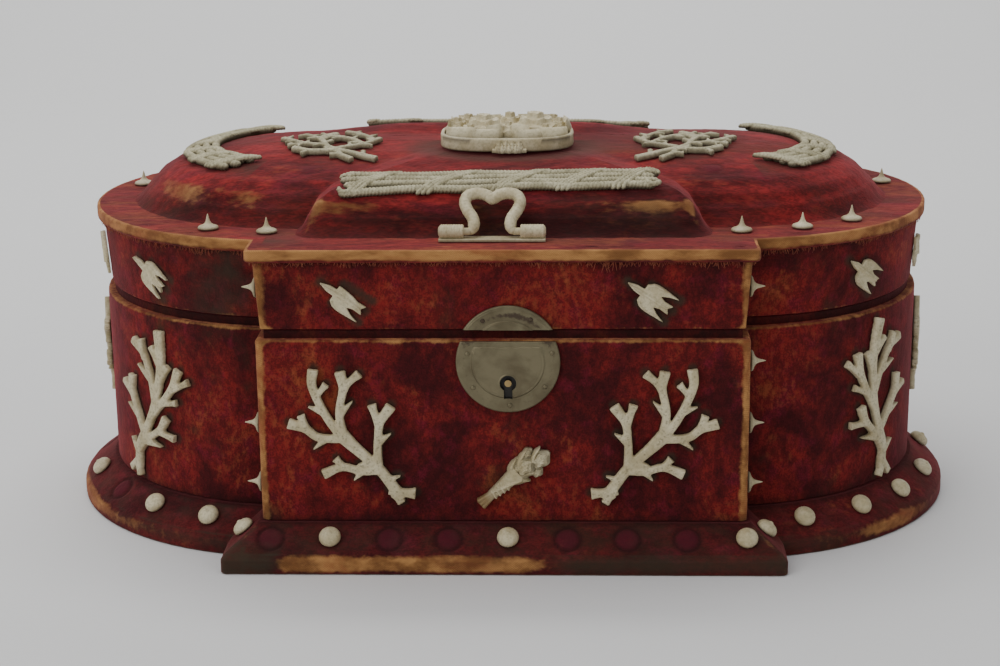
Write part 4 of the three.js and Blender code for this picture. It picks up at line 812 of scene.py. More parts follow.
def make_body():
    profile = fillet([(-9, 16.3, 0), (0, 16.3, 0.3), (0, 86.8, 1.4), (-3, 86.8, 0.3), (-3, 89.9, 0.4),
                      (-8, 89.9, 0.4), (-8, 21.3, 0.6), (-12, 21.3, 0)], 1.3)
    grid, uv = ringed(BODY_PLAN, profile)
    z, offset = profile[:, 1][:, None], profile[:, 0][:, None]
    outside = offset > -1.5
    rim = near(z, 86.5, 1.3) * (offset > -2.9) * 0.62
    edges = corner_mask(grid, 90.6, 100.2, 3.0) * outside
    worn = np.clip(rim + edges, 0, 1)
    dots = np.concatenate([ornament_dots(*k) for k in ON_WALL])
    inner = np.exp(-(np.hypot(np.abs(grid[..., 0]) - 91.3, grid[..., 1] + 83.5) / 3.5) ** 2) * outside
    joint = (offset < -1.5) * (offset > -3.3) * (z > 86.9)
    shade = 0.6 * near(z, 16.3, 2.2) * outside + 0.5 * inner + 0.9 * joint
    # The darkening round the corals is partly gathered dirt and partly painted shade at their feet
    masks = {"worn": worn, "shade": np.clip(shade, 0, 1), "dirt": 0.9 * closeness(grid, dots, 3.0) * outside}
    slots = np.where(profile[:-1, 0] < -7.5, 1, 0)
    shape = covered(grid, uv, masks, slots, cap_slots=(0, 1), seed=7)
    piece("body_cover", shape, [velvet_wall, lining], "box", ["box_body"])


def make_lid_wall():
    profile = fillet([(-8, 90.25, 0), (-2, 90.25, 0.7), (0, 117, 0), (-8, 117, 0), (-8, 90.3, 0)], 1.3)
    grid, uv = ringed(BODY_PLAN, profile)
    z, offset = profile[:, 1][:, None], profile[:, 0][:, None]
    outside = offset > -2.4
    left = grid[..., 0] < 0
    edges = corner_mask(grid, 90.3, 99.9, 3.2 + 1.4 * left) * outside
    worn = np.clip(edges + near(z, 90.8, 0.9) * 0.4 * outside, 0, 1)
    dots = np.concatenate([ornament_dots(*k) for k in ON_LID])
    patchy = 0.5 + 0.5 * waves(grid, 11, 45)
    stain = (0.3 + 0.45 * patchy) * near(np.hypot(grid[..., 0] + 106, grid[..., 1] + 80), 0, 17) * left
    shade = 0.6 * near(z, 117.5, 3.0) * outside + 0 * worn
    # The darkening round the birds is partly gathered dirt and partly painted shade at their feet
    masks = {"worn": worn, "shade": shade,
             "dirt": np.clip(0.9 * closeness(grid, dots, 3.2) + stain, 0, 1) * outside}
    slots = np.where(profile[:-1, 0] < -7.9, 1, 0)
    shape = covered(grid, uv, masks, slots, caps=False, seed=9)
    piece("lid_wall_cover", shape, [velvet_wall, lining], "lid", ["lid_frame"])


def make_board():
    outer = fillet([(0.4, 116.6, 0), (1.9, 116.3, 0.5), (2.5, 117.0, 0.5), (2.5, 121.2, 1.1),
                    (-3, 121.35, 0.2)], 0.5)
    grid, uv = ringed(BODY_PLAN, outer, fine=1.5)
    z, offset = outer[:, 1][:, None], outer[:, 0][:, None]
    worn = np.clip(near(z, 119.2, 2.6) * (offset > 1) * 0.92 + 0.6 * near(offset, 1.9, 0.9) * (z > 120), 0, 1)
    masks = {"worn": worn, "shade": 0.35 * near(z, 117.2, 0.5)}
    edge = covered(grid, uv, masks, np.zeros(len(outer) - 1, int), caps=False, seed=13)
    whole = together([edge, board_top(), board_inside()])
    piece("lid_board_cover", whole, [velvet_board, lining], "lid", ["lid_board"])


def between(ring_a, ring_b, rows):
    """Ruled surface between two rings of equally many points."""
    t = np.linspace(0, 1, rows)[:, None, None]
    return ring_a[None] * (1 - t) + ring_b[None] * t


def ring_at(plan, offset, z, count=1400):
    """Ring of a plan resampled to a fixed number of points by direction from the middle of the back."""
    ring = plan_rings(plan, offset, 1.5)[0]
    closed = np.concatenate([ring, ring[:1]])
    angle = np.unwrap(np.arctan2(closed[:, 1], closed[:, 0] * 0.62))
    at = np.linspace(angle[0], angle[-1], count, endpoint=False)
    x, y = np.interp(at, angle, closed[:, 0]), np.interp(at, angle, closed[:, 1])
    return np.stack([x, y, np.full(count, z)], -1)


def board_top():
    """The ledge between the worn edge and the dome's foot."""
    outer = ring_at(BODY_PLAN, -2.9, 121.35)
    inner = ring_at(DOME_PLAN, -4, 121.38)
    grid = between(outer, inner, 30)
    x, y = grid[..., 0], grid[..., 1]
    foot = np.clip(1 - np.abs(dome_inset(x, y)) / 2.2, 0, 1)
    uv = np.stack(np.broadcast_arrays(run_length(outer[:, :2])[None], np.linspace(0, 12, 30)[:, None]), -1)
    patchy = 0.5 + 0.5 * waves(grid * [0.5, 1.6, 1], 14, 43)
    dirt = 0.75 * near(np.hypot(x + 86, y + 76), 0, 15) + 0.8 * near(y, -88, 4.5) * (np.abs(x) < 88) * patchy
    dirt = np.clip(dirt + 0.5 * near(np.hypot(x - 132, y + 38), 0, 20), 0, 1)
    worn = 0.55 * (0.3 + 0.7 * patchy) * near(y, -99.5, 5) * (np.abs(x) < 90)
    masks = {"worn": worn, "shade": 0.45 * foot, "dirt": dirt}
    return covered(grid, uv, masks, np.zeros(29, int), caps=False, seed=15)


def board_inside():
    """Underside of the board and the edge of its opening, which only the open lid shows."""
    outer = ring_at(BODY_PLAN, 1.05, 117.3)
    low = ring_at(DOME_PLAN, -7, 117.3)
    high = ring_at(DOME_PLAN, -7, 121.38)
    grid = np.concatenate([high[None], low[None], outer[None]])
    shape = skin(grid, caps=False)
    shape.slots[:] = 1
    return shape


def dome_profile():
    """Rise over inset: the measured steps made smooth, a hollowed foot, a rounded shoulder and a flat crown.

    The foot runs out over the board in a hollow curve, where the velvet is drawn down to the ledge.
    """
    inset = np.concatenate([np.linspace(1.4, 14, 36), np.linspace(14.6, 58, 34)])
    rise = np.interp(inset, DOME_RISE[:, 0], DOME_RISE[:, 1])
    kernel = np.exp(-(np.subtract.outer(inset, inset) / 1.1) ** 2)
    rise = kernel @ rise / kernel.sum(1)
    t = np.linspace(0, 1, 16, endpoint=False)
    foot = -4.3 + (inset[0] + 4.3) * t
    return np.concatenate([foot, inset]), np.concatenate([-0.5 + (rise[0] + 0.5) * t ** 2.1, rise])


def make_dome():
    inset, rise = dome_profile()
    profile = np.stack([-inset, DOME_FOOT + rise], -1)
    grid, uv = ringed(DOME_PLAN, profile)
    row = inset[:, None]
    x, y = grid[..., 0], grid[..., 1]
    past = np.maximum(np.abs(x) - BOW_X, 0)
    endwise = (past / (np.hypot(past, y) + 1e-6)) ** 2
    spread = np.interp(inset, [-4.3, 0, 1.5, 4, 9], [4.4, 3.6, 2.6, 0.9, 0])[:, None]
    grid[..., 0] += np.sign(x) * spread * endwise
    grid[..., 2] += crown_lift(x, y, row)
    x = grid[..., 0]
    around = np.degrees(np.arctan2(past, -y))
    bow = (around > 4) & (around < 100)
    patchy = 0.5 + 0.5 * waves(np.stack([x, y], -1), 26, 21)
    shoulder = near(row, 4.0, 2.3) * (y < -66) * (0.34 + 0.36 * near(np.abs(x), 62, 17)) * (0.7 + 0.4 * patchy)
    at_corner = near(np.hypot(np.abs(x) - 72, y + 77), 0, 8)
    ridge = near(np.abs(np.abs(x) - 72) - np.abs(y + 78), 0, 3.0) * at_corner * 0.6
    fading = np.clip((around - 2) / 14, 0, 1) * np.clip((96 - around) / 40, 0, 1)
    left_band = near(row, 3.6, 3.4) * bow * (x < 0) * fading
    right_band = near(row, 3.4, 2.6) * bow * (x > 0) * 0.42 * patchy
    worn = np.clip(shoulder + ridge * 0.8 + left_band * (0.45 + 0.3 * patchy) + right_band, 0, 1)
    in_front = (y < -70) * (1 - 0.6 * near(np.abs(x), 66, 12))
    foot = 0.35 * near(row, -2.5, 3.0) + 0.45 * near(row, 0.5, 2.2) * in_front
    spots = np.array([(-76.0, -43.0), (79.5, -43.5)])
    spots = np.concatenate([spots, dome_z(spots[:, 0], spots[:, 1])[:, None]], 1)
    relief, fresh, ring = prints(grid, spots, 4.2)
    # Round the medallion, the twigs and under the garlands: partly gathered dirt, partly painted shade where
    # they stand on the velvet
    tray = near(np.hypot(x / 31, (y - MEDALLION_Y) / 23), 1.0, 0.28) * (y > -46)
    sprig = near(np.hypot(np.abs(x) - 69, (y - TWIG_Y) * 0.9), 0, 23)
    wreath = near(np.hypot(past, y), 43.5, 8.5) * (np.abs(np.degrees(np.arctan2(y, past))) < 70)
    # Painted shade: the dome's lower slopes darker, in patches
    slope = np.clip((11 - row) / 9, 0, 1) * (0.35 + 0.65 * patchy)
    masks = {"worn": worn, "shade": np.clip(foot + 0.55 * ring, 0, 1), "print": fresh, "relief": 0.6 * relief,
             "dirt": np.clip(0.95 * tray + 0.75 * sprig + 0.6 * wreath + 0.45 * slope, 0, 1)}
    outer = covered(grid, uv, masks, np.zeros(len(profile) - 1, int), caps=True, ripple=0.22, seed=17)
    outer.caps = outer.caps[1:]
    outer.cap_slots = [0]
    hollow = [(0, DOME_FOOT), (-8.5, DOME_FOOT), (-10, 126.6), (-16, 130.6), (-28, 134), (-46, 137)]
    low, _ = ringed(DOME_PLAN, hollow)
    inner = skin(low[::-1], caps=True)
    inner.caps = inner.caps[:1]
    inner.cap_slots = [1]
    inner.slots[:] = 1
    piece("dome_cover", together([outer, inner]), [velvet_top, lining], "lid", ["lid_dome"])


def make_fringe():
    """Frayed yarn under the board's edge: each thread a thin ribbon along a bent path of four points."""
    count = 2600
    ring = plan_rings(BODY_PLAN, 0.5, 1.5)[0]
    length = run_length(ring)
    at = np.sort(rng.uniform(0, length[-1], count))
    closed = np.concatenate([ring, ring[:1]])
    foot = np.stack([np.interp(at, length, closed[:, i]) for i in (0, 1)], -1)
    ahead = np.stack([np.interp((at + 0.5) % length[-1], length, closed[:, i]) for i in (0, 1)], -1)
    run = ahead - foot
    run /= np.linalg.norm(run, axis=1, keepdims=True)
    out = np.stack([run[:, 1], -run[:, 0]], -1)
    clump = 0.5 + 0.5 * waves(foot, 22, 31)
    drop = rng.uniform(0.7, 3.2, count) * (0.35 + clump)
    t = np.linspace(0, 1, 4)
    lean = rng.normal(0, 0.7, count)
    bulge = rng.uniform(0.1, 0.9, count)
    path = (foot[:, None] + run[:, None] * (lean[:, None] * t ** 1.5)[..., None]
            + out[:, None] * (bulge[:, None] * np.sin(np.pi * t * 0.8))[..., None])
    z = 117.0 - drop[:, None] * t
    line = np.concatenate([path, z[..., None]], -1)
    half = 0.14 * (1 - 0.6 * t)[None, :, None]
    side = np.concatenate([run, np.zeros((count, 1))], -1)[:, None] * half
    deep = np.concatenate([out, np.zeros((count, 1))], -1)[:, None] * half
    tube = np.stack([line - side, line - deep, line + side, line + deep], 2)
    base = (np.arange(count) * 16)[:, None, None]
    r, c = np.meshgrid(np.arange(3), np.arange(4), indexing="ij")
    quad = np.stack([r * 4 + c, (r + 1) * 4 + c, (r + 1) * 4 + (c + 1) % 4, r * 4 + (c + 1) % 4],
                    -1).reshape(-1, 4)
    ends = np.array([[0, 1, 2, 3], [15, 14, 13, 12]])
    faces = (np.concatenate([quad, ends])[None] + base).reshape(-1, 4)
    made = Shape(tube.reshape(-1, 3), faces)
    piece("rim_fringe", made, [yarn], "lid", [])


# Carved corals

FRONT_CORAL = [
    ([(0, 0), (-.02, .03), (-.05, .07)], 3.4), ([(-.09, .1), (0, .08), (.1, .07)], 3.6),
    ([(0, .03), (-.08, .15), (-.17, .27), (-.31, .4), (-.41, .5)], 4.4),
    ([(-.16, .22), (-.165, .36), (-.16, .49), (-.14, .61), (-.06, .73)], 3.5), ([(-.15, .57), (-.2, .74)], 3.0),
    ([(-.16, .46), (-.08, .515)], 2.2),
    ([(-.39, .46), (-.425, .6), (-.43, .71), (-.4, .86), (-.42, .985)], 3.4),
    ([(-.41, .82), (-.36, .9), (-.28, .97)], 3.0), ([(-.43, .67), (-.35, .75)], 2.2),
    ([(-.38, .46), (-.48, .58), (-.56, .72), (-.62, .88), (-.61, 1)], 3.4), ([(-.6, .79), (-.52, .89)], 2.5),
    ([(-.55, .69), (-.635, .72)], 2.0), ([(-.38, .49), (-.5, .485), (-.6, .5), (-.68, .56), (-.8, .6)], 3.4),
    ([(-.66, .54), (-.71, .66)], 2.8), ([(-.53, .49), (-.61, .42)], 2.0),
    ([(-.15, .25), (-.28, .24), (-.42, .27), (-.56, .215)], 3.3), ([(-.4, .26), (-.47, .335)], 2.6),
    ([(-.27, .25), (-.33, .185)], 2.0), ([(-.23, .3), (-.3, .29)], 1.8), ([(-.1, .17), (-.02, .2)], 1.8),
]
BOW_CORAL = [
    ([(-.01, 0), (.02, .08)], 3.4), ([(.09, .01), (.05, .06), (.01, .1)], 3.2),
    ([(.01, .05), (.01, .2), (-.06, .35), (-.11, .5), (-.14, .7), (-.13, .84), (-.1, .985)], 4.1),
    ([(-.13, .78), (-.05, .87)], 2.6), ([(-.14, .66), (-.2, .79)], 2.6),
    ([(-.115, .54), (-.08, .64), (-.04, .72), (.02, .8), (.13, .845)], 3.3), ([(0, .77), (.05, .88)], 2.6),
    ([(-.06, .67), (.04, .71)], 2.2), ([(-.04, .29), (.02, .37), (.06, .43), (.12, .52), (.13, .615)], 3.3),
    ([(.11, .5), (.22, .545)], 2.6), ([(.03, .39), (.13, .42)], 2.3),
    ([(-.085, .42), (-.14, .5), (-.19, .57), (-.25, .68), (-.28, .795)], 3.3),
    ([(-.24, .65), (-.36, .745)], 2.6),
    ([(-.17, .54), (-.29, .59)], 2.4), ([(.01, .17), (-.05, .25), (-.1, .3), (-.18, .38), (-.22, .465)], 3.2),
    ([(-.17, .36), (-.3, .36)], 2.5), ([(-.07, .26), (-.18, .27)], 2.3), ([(.01, .15), (.08, .21)], 1.8),
]
TWIG_CORAL = [
    ([(-.42, -.5), (-.3, -.43), (-.2, -.36), (.02, -.22), (.1, -.02), (.14, .14), (.02, .32)], 3.8),
    ([(-.2, -.52), (-.1, -.42), (-.02, -.3), (.2, -.3), (.36, -.22)], 3.4),
    ([(.06, -.12), (.28, -.05), (.5, .16)], 3.2), ([(.22, -.08), (.42, -.14)], 3.0),
    ([(.12, .06), (.3, .26)], 3.2), ([(-.04, -.24), (-.28, -.08), (-.4, .12)], 3.3),
    ([(-.26, -.1), (-.14, .08), (.04, .18), (.12, .08)], 3.2), ([(-.36, .04), (-.2, .3), (-.06, .42)], 3.2),
]


FRONT_PLACE = {side: moved(on_front, side * 38.0, 24.0) for side in (-1, 1)}
BOW_PLACE = {-1: moved(on_bow(-1, 49.5), 0, 18.5, 0, -10.0), 1: moved(on_bow(1, 49.5), 0, 18.5, 0, -2.5)}
BIRD_LENGTH, BIRD_Z, BIRD_TILT = 19.6, 103, -35
BOW_BIRD_ANGLE, END_BIRD_ANGLE = 41, 76
BIRD_LINES = [([(-.5, 0), (.5, 0)], 0), ([(-.1, -.2), (.5, -.25)], 0), ([(-.1, .2), (.5, .25)], 0)]
ON_WALL = ([(FRONT_CORAL, 52.0, -side, FRONT_PLACE[side]) for side in (-1, 1)]
           + [(BOW_CORAL, 66.0, side, BOW_PLACE[side]) for side in (-1, 1)])
ON_LID = [(BIRD_LINES, BIRD_LENGTH, 1, moved(on_lid_front, u, BIRD_Z, 0, BIRD_TILT)) for u in (-58, 54)]
ON_LID += [(BIRD_LINES, BIRD_LENGTH, 1, moved(on_lid_bow(side, BOW_BIRD_ANGLE), 0, BIRD_Z, 0, BIRD_TILT))
           for side in (-1, 1)]

make_plinth()
make_body()
make_lid_wall()
make_board()
make_dome()
make_fringe()


def spine_mask(shape, lines, reach):
    """1 along the middle lines of the twigs, on their upper side, falling to 0 at the reach."""
    dots = np.concatenate([smooth_path(line, 40) for line in lines])
    near_spine = np.full(len(shape.verts), 99.0)
    for block in np.array_split(np.arange(len(shape.verts)), max(len(shape.verts) // 4000, 1)):
        gap = shape.verts[block, None, :2] - dots[None]
        near_spine[block] = np.sqrt((gap ** 2).sum(-1).min(1))
    return np.clip(1.6 - near_spine / reach * 1.6, 0, 1)


def coral(branches, height, hand, thickness, swell=1.0, voxel=0.38):
    """Fretted twig: branches with a squared section, flared at the cut ends, all grown together."""
    strokes, lines = [], []
    for i, (points, width) in enumerate(branches):
        line = np.array(points) * height * [hand, 1]
        lines.append(line)
        thorn = len(points) == 2 and width < 2.4
        widths = (1.7, 0.15) if thorn else (1.05, 0.92, 0.86, 0.92, 1.22)
        if thorn:
            line = np.array([line[0], line[0] + 1.2 * (line[1] - line[0])])
        lift = thickness * (0.97 + 0.05 * np.sin(2.3 * i))
        strokes.append(stroke(line, np.array(widths) * width * swell, lift, CRISP))
    shape = fused(together(strokes), voxel, 2)
    shape.masks["spine"] = spine_mask(shape, lines, 1.2)
    # Painted shade at the foot of the carving, where it stands on the velvet
    shape.masks["low"] = np.clip(1 - shape.verts[:, 2] / (0.35 * thickness), 0, 1) * 0.6
    return shape


def knobs(branches):
    """Short stumps standing out at both sides of every branch, a few to each."""
    stumps = []
    for i, (points, width) in enumerate(branches):
        path = smooth_path(points, 9)
        for k in range(1 + i % 2, 8, 2):
            run = path[k + 1] - path[k - 1]
            out = np.array([-run[1], run[0]]) / np.hypot(*run) * (0.085 if (k + i) % 4 < 2 else -0.085)
            stumps.append(([tuple(path[k]), tuple(path[k] + out + 0.25 * run)], width * 0.72))
    return stumps


def carve(name, shape, place, node_name, body="box", material=None):
    piece(name, laid(shape, place), [material or bone_clean], body, [node_name])


for side, word in ((-1, "left"), (1, "right")):
    front = coral(FRONT_CORAL, 52.0, -side, 2.5)
    carve(f"coral_front_{word}_carved", front, FRONT_PLACE[side], f"coral_front_{word}")
    bow = coral(BOW_CORAL, 66.0, side, 2.5)
    carve(f"coral_bow_{word}_carved", bow, BOW_PLACE[side], f"coral_bow_{word}")
    end = coral(BOW_CORAL, 42.0, side, 2.5, 0.85)
    carve(f"coral_end_{word}_carved", end, moved(on_bow(side, 88), 0, 38.0), f"coral_end_{word}")
    twigs = coral(TWIG_CORAL + knobs(TWIG_CORAL), 44.0, side, 2.1, 0.72, 0.34)
    # Painted shade at the foot of the twigs, where they lie on the dome
    twigs.masks["low"] = np.clip(1.1 - twigs.verts[:, 2] / 1.9, 0, 1) * 0.9
    carve(f"twigs_{word}_carved", twigs, moved(on_dome, side * 69.0, TWIG_Y), f"twigs_{word}", "lid",
          bone_dusty)


# Swallows

BIRD_HALF = np.array([(0, .008), (.08, .035), (.18, .065), (.33, .075), (.33, .18), (.42, .255), (.62, .28),
                      (.99, .262), (.8, .2), (.66, .125), (.78, .085), (.97, .095)])


def swallow(whole=True):
    """Beak to the left: a flat plate of wings and forked tail, with a keeled body and ridged wing edges."""
    lower = BIRD_HALF * [1, -1]
    upper = BIRD_HALF if whole else np.minimum(BIRD_HALF, [[9, .16]])[[0, 1, 2, 3, 4, 5, 9, 10, 11]]
    outline = np.concatenate([upper[::-1], lower, [(.9, 0)]]) * BIRD_LENGTH - [0.5 * BIRD_LENGTH, 0]
    foot, face = np.zeros(len(outline)), np.full(len(outline), 1.25)
    plate = skin(np.stack([np.c_[outline, foot], np.c_[outline, face]]))
    keel = stroke([(-9.6, 0), (-6, 0), (-2, 0), (4, 0), (7.5, 0)], [0.4, 1.7, 2.6, 2.6, 1.6], 2.2, RIDGE)
    parts = [plate, keel]
    for side in (-1, 1) if whole else (-1,):
        wing = [(-2.6, 3.3 * side), (0, 4.9 * side), (8.9, 5.0 * side)]
        parts.append(stroke(wing, [1.2, 1.2, 0.4], [1.9, 1.8, 1.3], RIDGE))
        parts.append(stroke([(4, 0.9 * side), (8.8, 1.3 * side)], [0.9, 0.7], [1.7, 1.4], RIDGE))
    return fused(together(parts), 0.21, 1)


BIRDS = [("bird_front_left", on_lid_front, -58, False), ("bird_front_right", on_lid_front, 54, True)]
for side, word in ((-1, "left"), (1, "right")):
    BIRDS.append((f"bird_bow_{word}", on_lid_bow(side, BOW_BIRD_ANGLE), 0, True))
    BIRDS.append((f"bird_end_{word}", on_lid_bow(side, END_BIRD_ANGLE), 0, True))
for name, surface, across, whole in BIRDS:
    carve(name + "_carved", swallow(whole), moved(surface, across, BIRD_Z, 0, BIRD_TILT), name, "lid")


# Roses, posy and medallion

def rose_cup(u, v, radius, height, petals=5, foot=0.0, turn=0.0):
    """Polar height field: three rounds of petals, each rising outwards to a lobed rim and then dropping."""
    r = np.linspace(1, 0.02, 34)[:, None]
    a = np.linspace(0, 2 * np.pi, 60, endpoint=False)[None] + turn
    q = 3.0 * r * (1 - 0.07 * np.cos(petals * a))
    layer = np.floor(np.clip(q, 0, 2.999))
    q = 3.0 * r * (1 - 0.09 * np.cos(petals * a + 2.1 * layer))
    saw = np.clip(q - layer, 0, 1)
    rise = 1 - 0.62 * r ** 1.6 + 0.2 * saw ** 2 - 0.16
    rim = radius * (1 + 0.07 * np.cos(petals * a))
    x, y = u + rim * r * np.cos(a), v + rim * r * np.sin(a)
    top = np.stack([x, y, foot + height * rise + 0 * x], -1)
    wall = top[:1] * 1.0
    wall[..., 2] = foot
    return skin(np.concatenate([wall, top]))


def leafy(start, end, width, height, foot=0.0):
    """Pointed leaf: a ridged stroke, widest a third of the way along."""
    a, b = np.array(start, float), np.array(end, float)
    bend = a + (b - a) * 0.5 + np.array([-(b - a)[1], (b - a)[0]]) * 0.08
    return stroke([a, bend, b], [0.5 * width, 1.0 * width, 0.8 * width, 0.1 * width], height, RIDGE, foot=foot)


def make_posy():
    """Posy in a paper cone, drawn along +u: stalks, rolled paper with an open edge, roses and leaves."""
    l, t = 32.0, 4.5    # length and thickness
    parts = []
    for k in (-1, 0, 1):
        parts.append(stroke([(0, 2.0 * k), (0.1 * l, 1.4 * k), (0.24 * l, 0.7 * k)], [2.2, 2.0, 1.6], 2.6))
    parts.append(stroke([(0.17 * l, 0), (0.3 * l, 0), (0.45 * l, 0.2), (0.6 * l, 0.2)], [4.6, 5.8, 7.0, 8.6],
                        [2.4, 2.8, 3.2, 3.4]))
    parts.append(stroke([(0.2 * l, 1.4), (0.4 * l, -1.0), (0.58 * l, -3.4)], [1.0, 1.5, 1.4], [3.2, 4.0, 3.8]))
    for at, wide in ((0.2, 2.3), (0.26, 2.6), (0.32, 2.9), (0.38, 3.2)):
        parts.append(stroke([(at * l, -wide), (at * l + 0.7, wide)], [0.9, 0.9], 3.7))
    for a, b, w, h in (((.45, -.06), (.64, -.2), .12, .6), ((.6, -.05), (.8, -.22), .12, .6),
                       ((.5, .05), (.7, .2), .12, .7), ((.62, .05), (.86, .2), .12, .75),
                       ((.8, 0), (1.0, .1), .1, .8)):
        parts.append(leafy(np.array(a) * l, np.array(b) * l, w * l, h * t))
    carved = fused(together(parts), 0.33, 2)
    roses = together([rose_cup(0.7 * l, 0.03 * l, 0.145 * l, 1.15 * t, 5),
                      rose_cup(0.9 * l, -0.05 * l, 0.125 * l, 1.05 * t, 5, turn=0.5),
                      rose_cup(0.77 * l, -0.17 * l, 0.07 * l, 0.9 * t, 5),
                      rose_cup(0.83 * l, 0.15 * l, 0.07 * l, 0.9 * t, 5)])
    # Painted shade: darker in the grooves, low down on stalks and paper, and deep between the rose petals
    grooves = 0.55 * np.clip(1 - (carved.verts[:, 2] - 1.4) / 1.8, 0, 1)
    carved.masks["low"] = np.maximum(np.clip(1 - carved.verts[:, 2] / 1.4, 0, 1) * 0.7, grooves)
    carved.masks["stalk"] = np.clip(1.7 - carved.verts[:, 0] / 4.4, 0, 1)
    roses.masks["low"] = np.clip(1 - (roses.verts[:, 2] - 1) / 3.2, 0, 1) * 0.8
    posy = together([carved, roses])
    posy.verts = posy.verts * [1, 0.8, 1]
    carve("bouquet_carved", posy, moved(on_front, -8.5, 23.5, 0, 41), "bouquet")


def make_medallion():
    """Dish of squared oval plan with a thin upright rim, a block of scrolls in front, roses and leaves in it.

    The plan is an oval whose cosine and sine are raised to the power 0.7, which squares it.
    """
    a = np.linspace(0, 2 * np.pi, 160, endpoint=False)
    square_x, square_y = (np.sign(t) * np.abs(t) ** 0.7 for t in (np.cos(a), np.sin(a)))
    profile = [(25.6, 0), (26.2, 0.3), (26.4, 0.9), (26.3, 2.5), (26.4, 4.5), (26.2, 5.1), (25.7, 5.4),
               (25.1, 5.3), (24.8, 4.9), (24.7, 3.9), (23, 3.6), (10, 3.7)]
    rings = [np.stack([r * square_x, (r - 7.0) * square_y, np.full(160, z)], -1) for r, z in profile]
    dish = skin(np.stack(rings))
    heap = []
    for u, v, r, h, turn in ((-9.5, 2.5, 8.6, 8.6, 0.1), (11, 3.5, 9.2, 9.3, 0.7), (-20, 3, 4.6, 7.2, 0.2),
                             (20.6, 3.4, 4.2, 7.0, 0.9), (0.6, -3.2, 4.0, 6.4, 0.4), (0.8, 9.5, 5.6, 8.2, 1.0),
                             (-16, 10, 5.0, 7.4, 0.3), (18, 10.5, 4.6, 7.0, 0.5), (-14.5, -4.5, 3.8, 5.6, 0.8),
                             (15.2, -4.8, 3.8, 5.6, 0.1), (-20.5, -4, 2.8, 5.0, 0.6), (21, -4, 2.8, 5.0, 0.2)):
        heap.append(rose_cup(u, v, r, h, 5, 3.5, turn))
    for s, e, w, h in (((-23.8, -7.5), (-12, -9.6), 5.4, 4.6), ((23.8, -7.5), (12, -9.6), 5.4, 4.6),
                       ((-14, -8.6), (-3, -11.4), 5.0, 4.0), ((15, -8.6), (4, -11.4), 5.0, 4.0),
                       ((-3, 14.6), (-20, 12.5), 5, 6.0), ((4, 14.6), (20, 12.5), 5, 6.0),
                       ((-2, -6), (-8, -9), 4, 5.4), ((2, -6), (9, -9), 4, 5.4),
                       ((-22.5, 10), (-23.5, -1), 4.0, 6.2), ((22.5, 10), (23.5, -1), 4.0, 6.2)):
        heap.append(leafy(s, e, w, h, 3.5))
    for u in (-3.0, -0.4, 2.2, 4.8):
        heap.append(rose_cup(u + 0.5, -19.9, 1.55, 4.9, 4, 0.0, 0.4))
    for u in (-1.7, 0.9, 3.5):
        heap.append(rose_cup(u + 0.5, -20.9, 1.2, 3.6, 4, 0.0, 0.1))
    heap.append(stroke([(-5.2, -19.7), (1.4, -20.2), (8, -19.7)], [2.0, 2.2, 2.0], 1.6))
    whole = together([dish] + heap)
    z = whole.verts[:, 2]
    # Painted shade on the floor of the dish inside its rim, and at the foot
    hollow = np.clip(1 - np.abs(z - 4.2) / 1.5, 0, 1) * (np.abs(whole.verts[:, 1]) < 18.2)
    whole.masks["low"] = np.maximum(hollow * (np.abs(whole.verts[:, 0]) < 25), np.clip(1 - z / 1.2, 0, 1) * 0.7)
    whole.verts = whole.verts + [0, MEDALLION_Y, DOME_TOP + GAP]
    piece("medallion_carved", whole, [bone_clean], "lid", ["medallion"], sharp=60)


make_posy()
make_medallion()


# Rope bundles and garlands

def strand_on(place, line, radius, lift):
    """Twisted strand lying on a surface along a line drawn on it."""
    path = place(line[:, 0], line[:, 1], np.full(len(line), 1.0) * lift)
    return rope(path, radius, 1.35, depth=0.13)


def shadowed(shape):
    """Dark in the grooves: by how little a point stands above the dome."""
    above = shape.verts[:, 2] - dome_z(shape.verts[:, 0], shape.verts[:, 1]) - GAP
    shape.masks["low"] = np.clip(1.7 - above / 1.25, 0, 1)
    return shape


# Where each wrap crosses the bundle, and half its slant along it
WRAPS = [(-47.5, 9.0), (-18.5, 10.5), (8.0, 9.5), (31.0, 8.0), (50.0, 6.0)]


def rope_bundle(side):
    """Four strands side by side, splayed at both ends, with strands slanting over them."""
    edge = -81.0 if side < 0 else 64.0
    place = moved(on_dome, -1.5, edge - side * 14.5, 0.1)
    half = 60.0
    parts = []
    for i, row in enumerate((-5.1, -1.75, 1.75, 5.1)):
        u = np.linspace(-half + (i % 2) * 1.6, half - ((i + 1) % 2) * 1.6, 480)
        splay = 1 + 0.2 * np.clip((np.abs(u) - 48) / 12, 0, 1) ** 1.5
        sway = 0.35 * np.sin(u / 6.5 + i) + 0.026 * u
        parts.append(strand_on(place, np.stack([u, row * splay + sway], -1), 1.6, 0.85))
    for centre, slant in WRAPS:
        t = np.linspace(0, 1, 110)
        hump = 0.7 + 1.5 * np.sin(np.pi * np.clip(t, 0.02, 0.98)) ** 0.5
        for shift in (-1.9, 0.0, 1.9):
            u = centre + shift - side * (t - 0.5) * 2 * slant
            v = (t - 0.5) * 14.4 + 0.026 * u
            parts.append(strand_on(place, np.stack([u, v], -1), 0.95, hump))
    for end in (-1, 1):
        for row in (-1, 1):
            a = np.linspace(-0.5, 1.5 * np.pi, 60)
            along = end * (half - 2.4 + 2.2 * np.cos(a))
            across = row * (4.9 + 1.5 * np.sin(a)) + 0.026 * end * half
            parts.append(strand_on(place, np.stack([along, across], -1), 1.0, 1.9))
    return shadowed(together(parts))


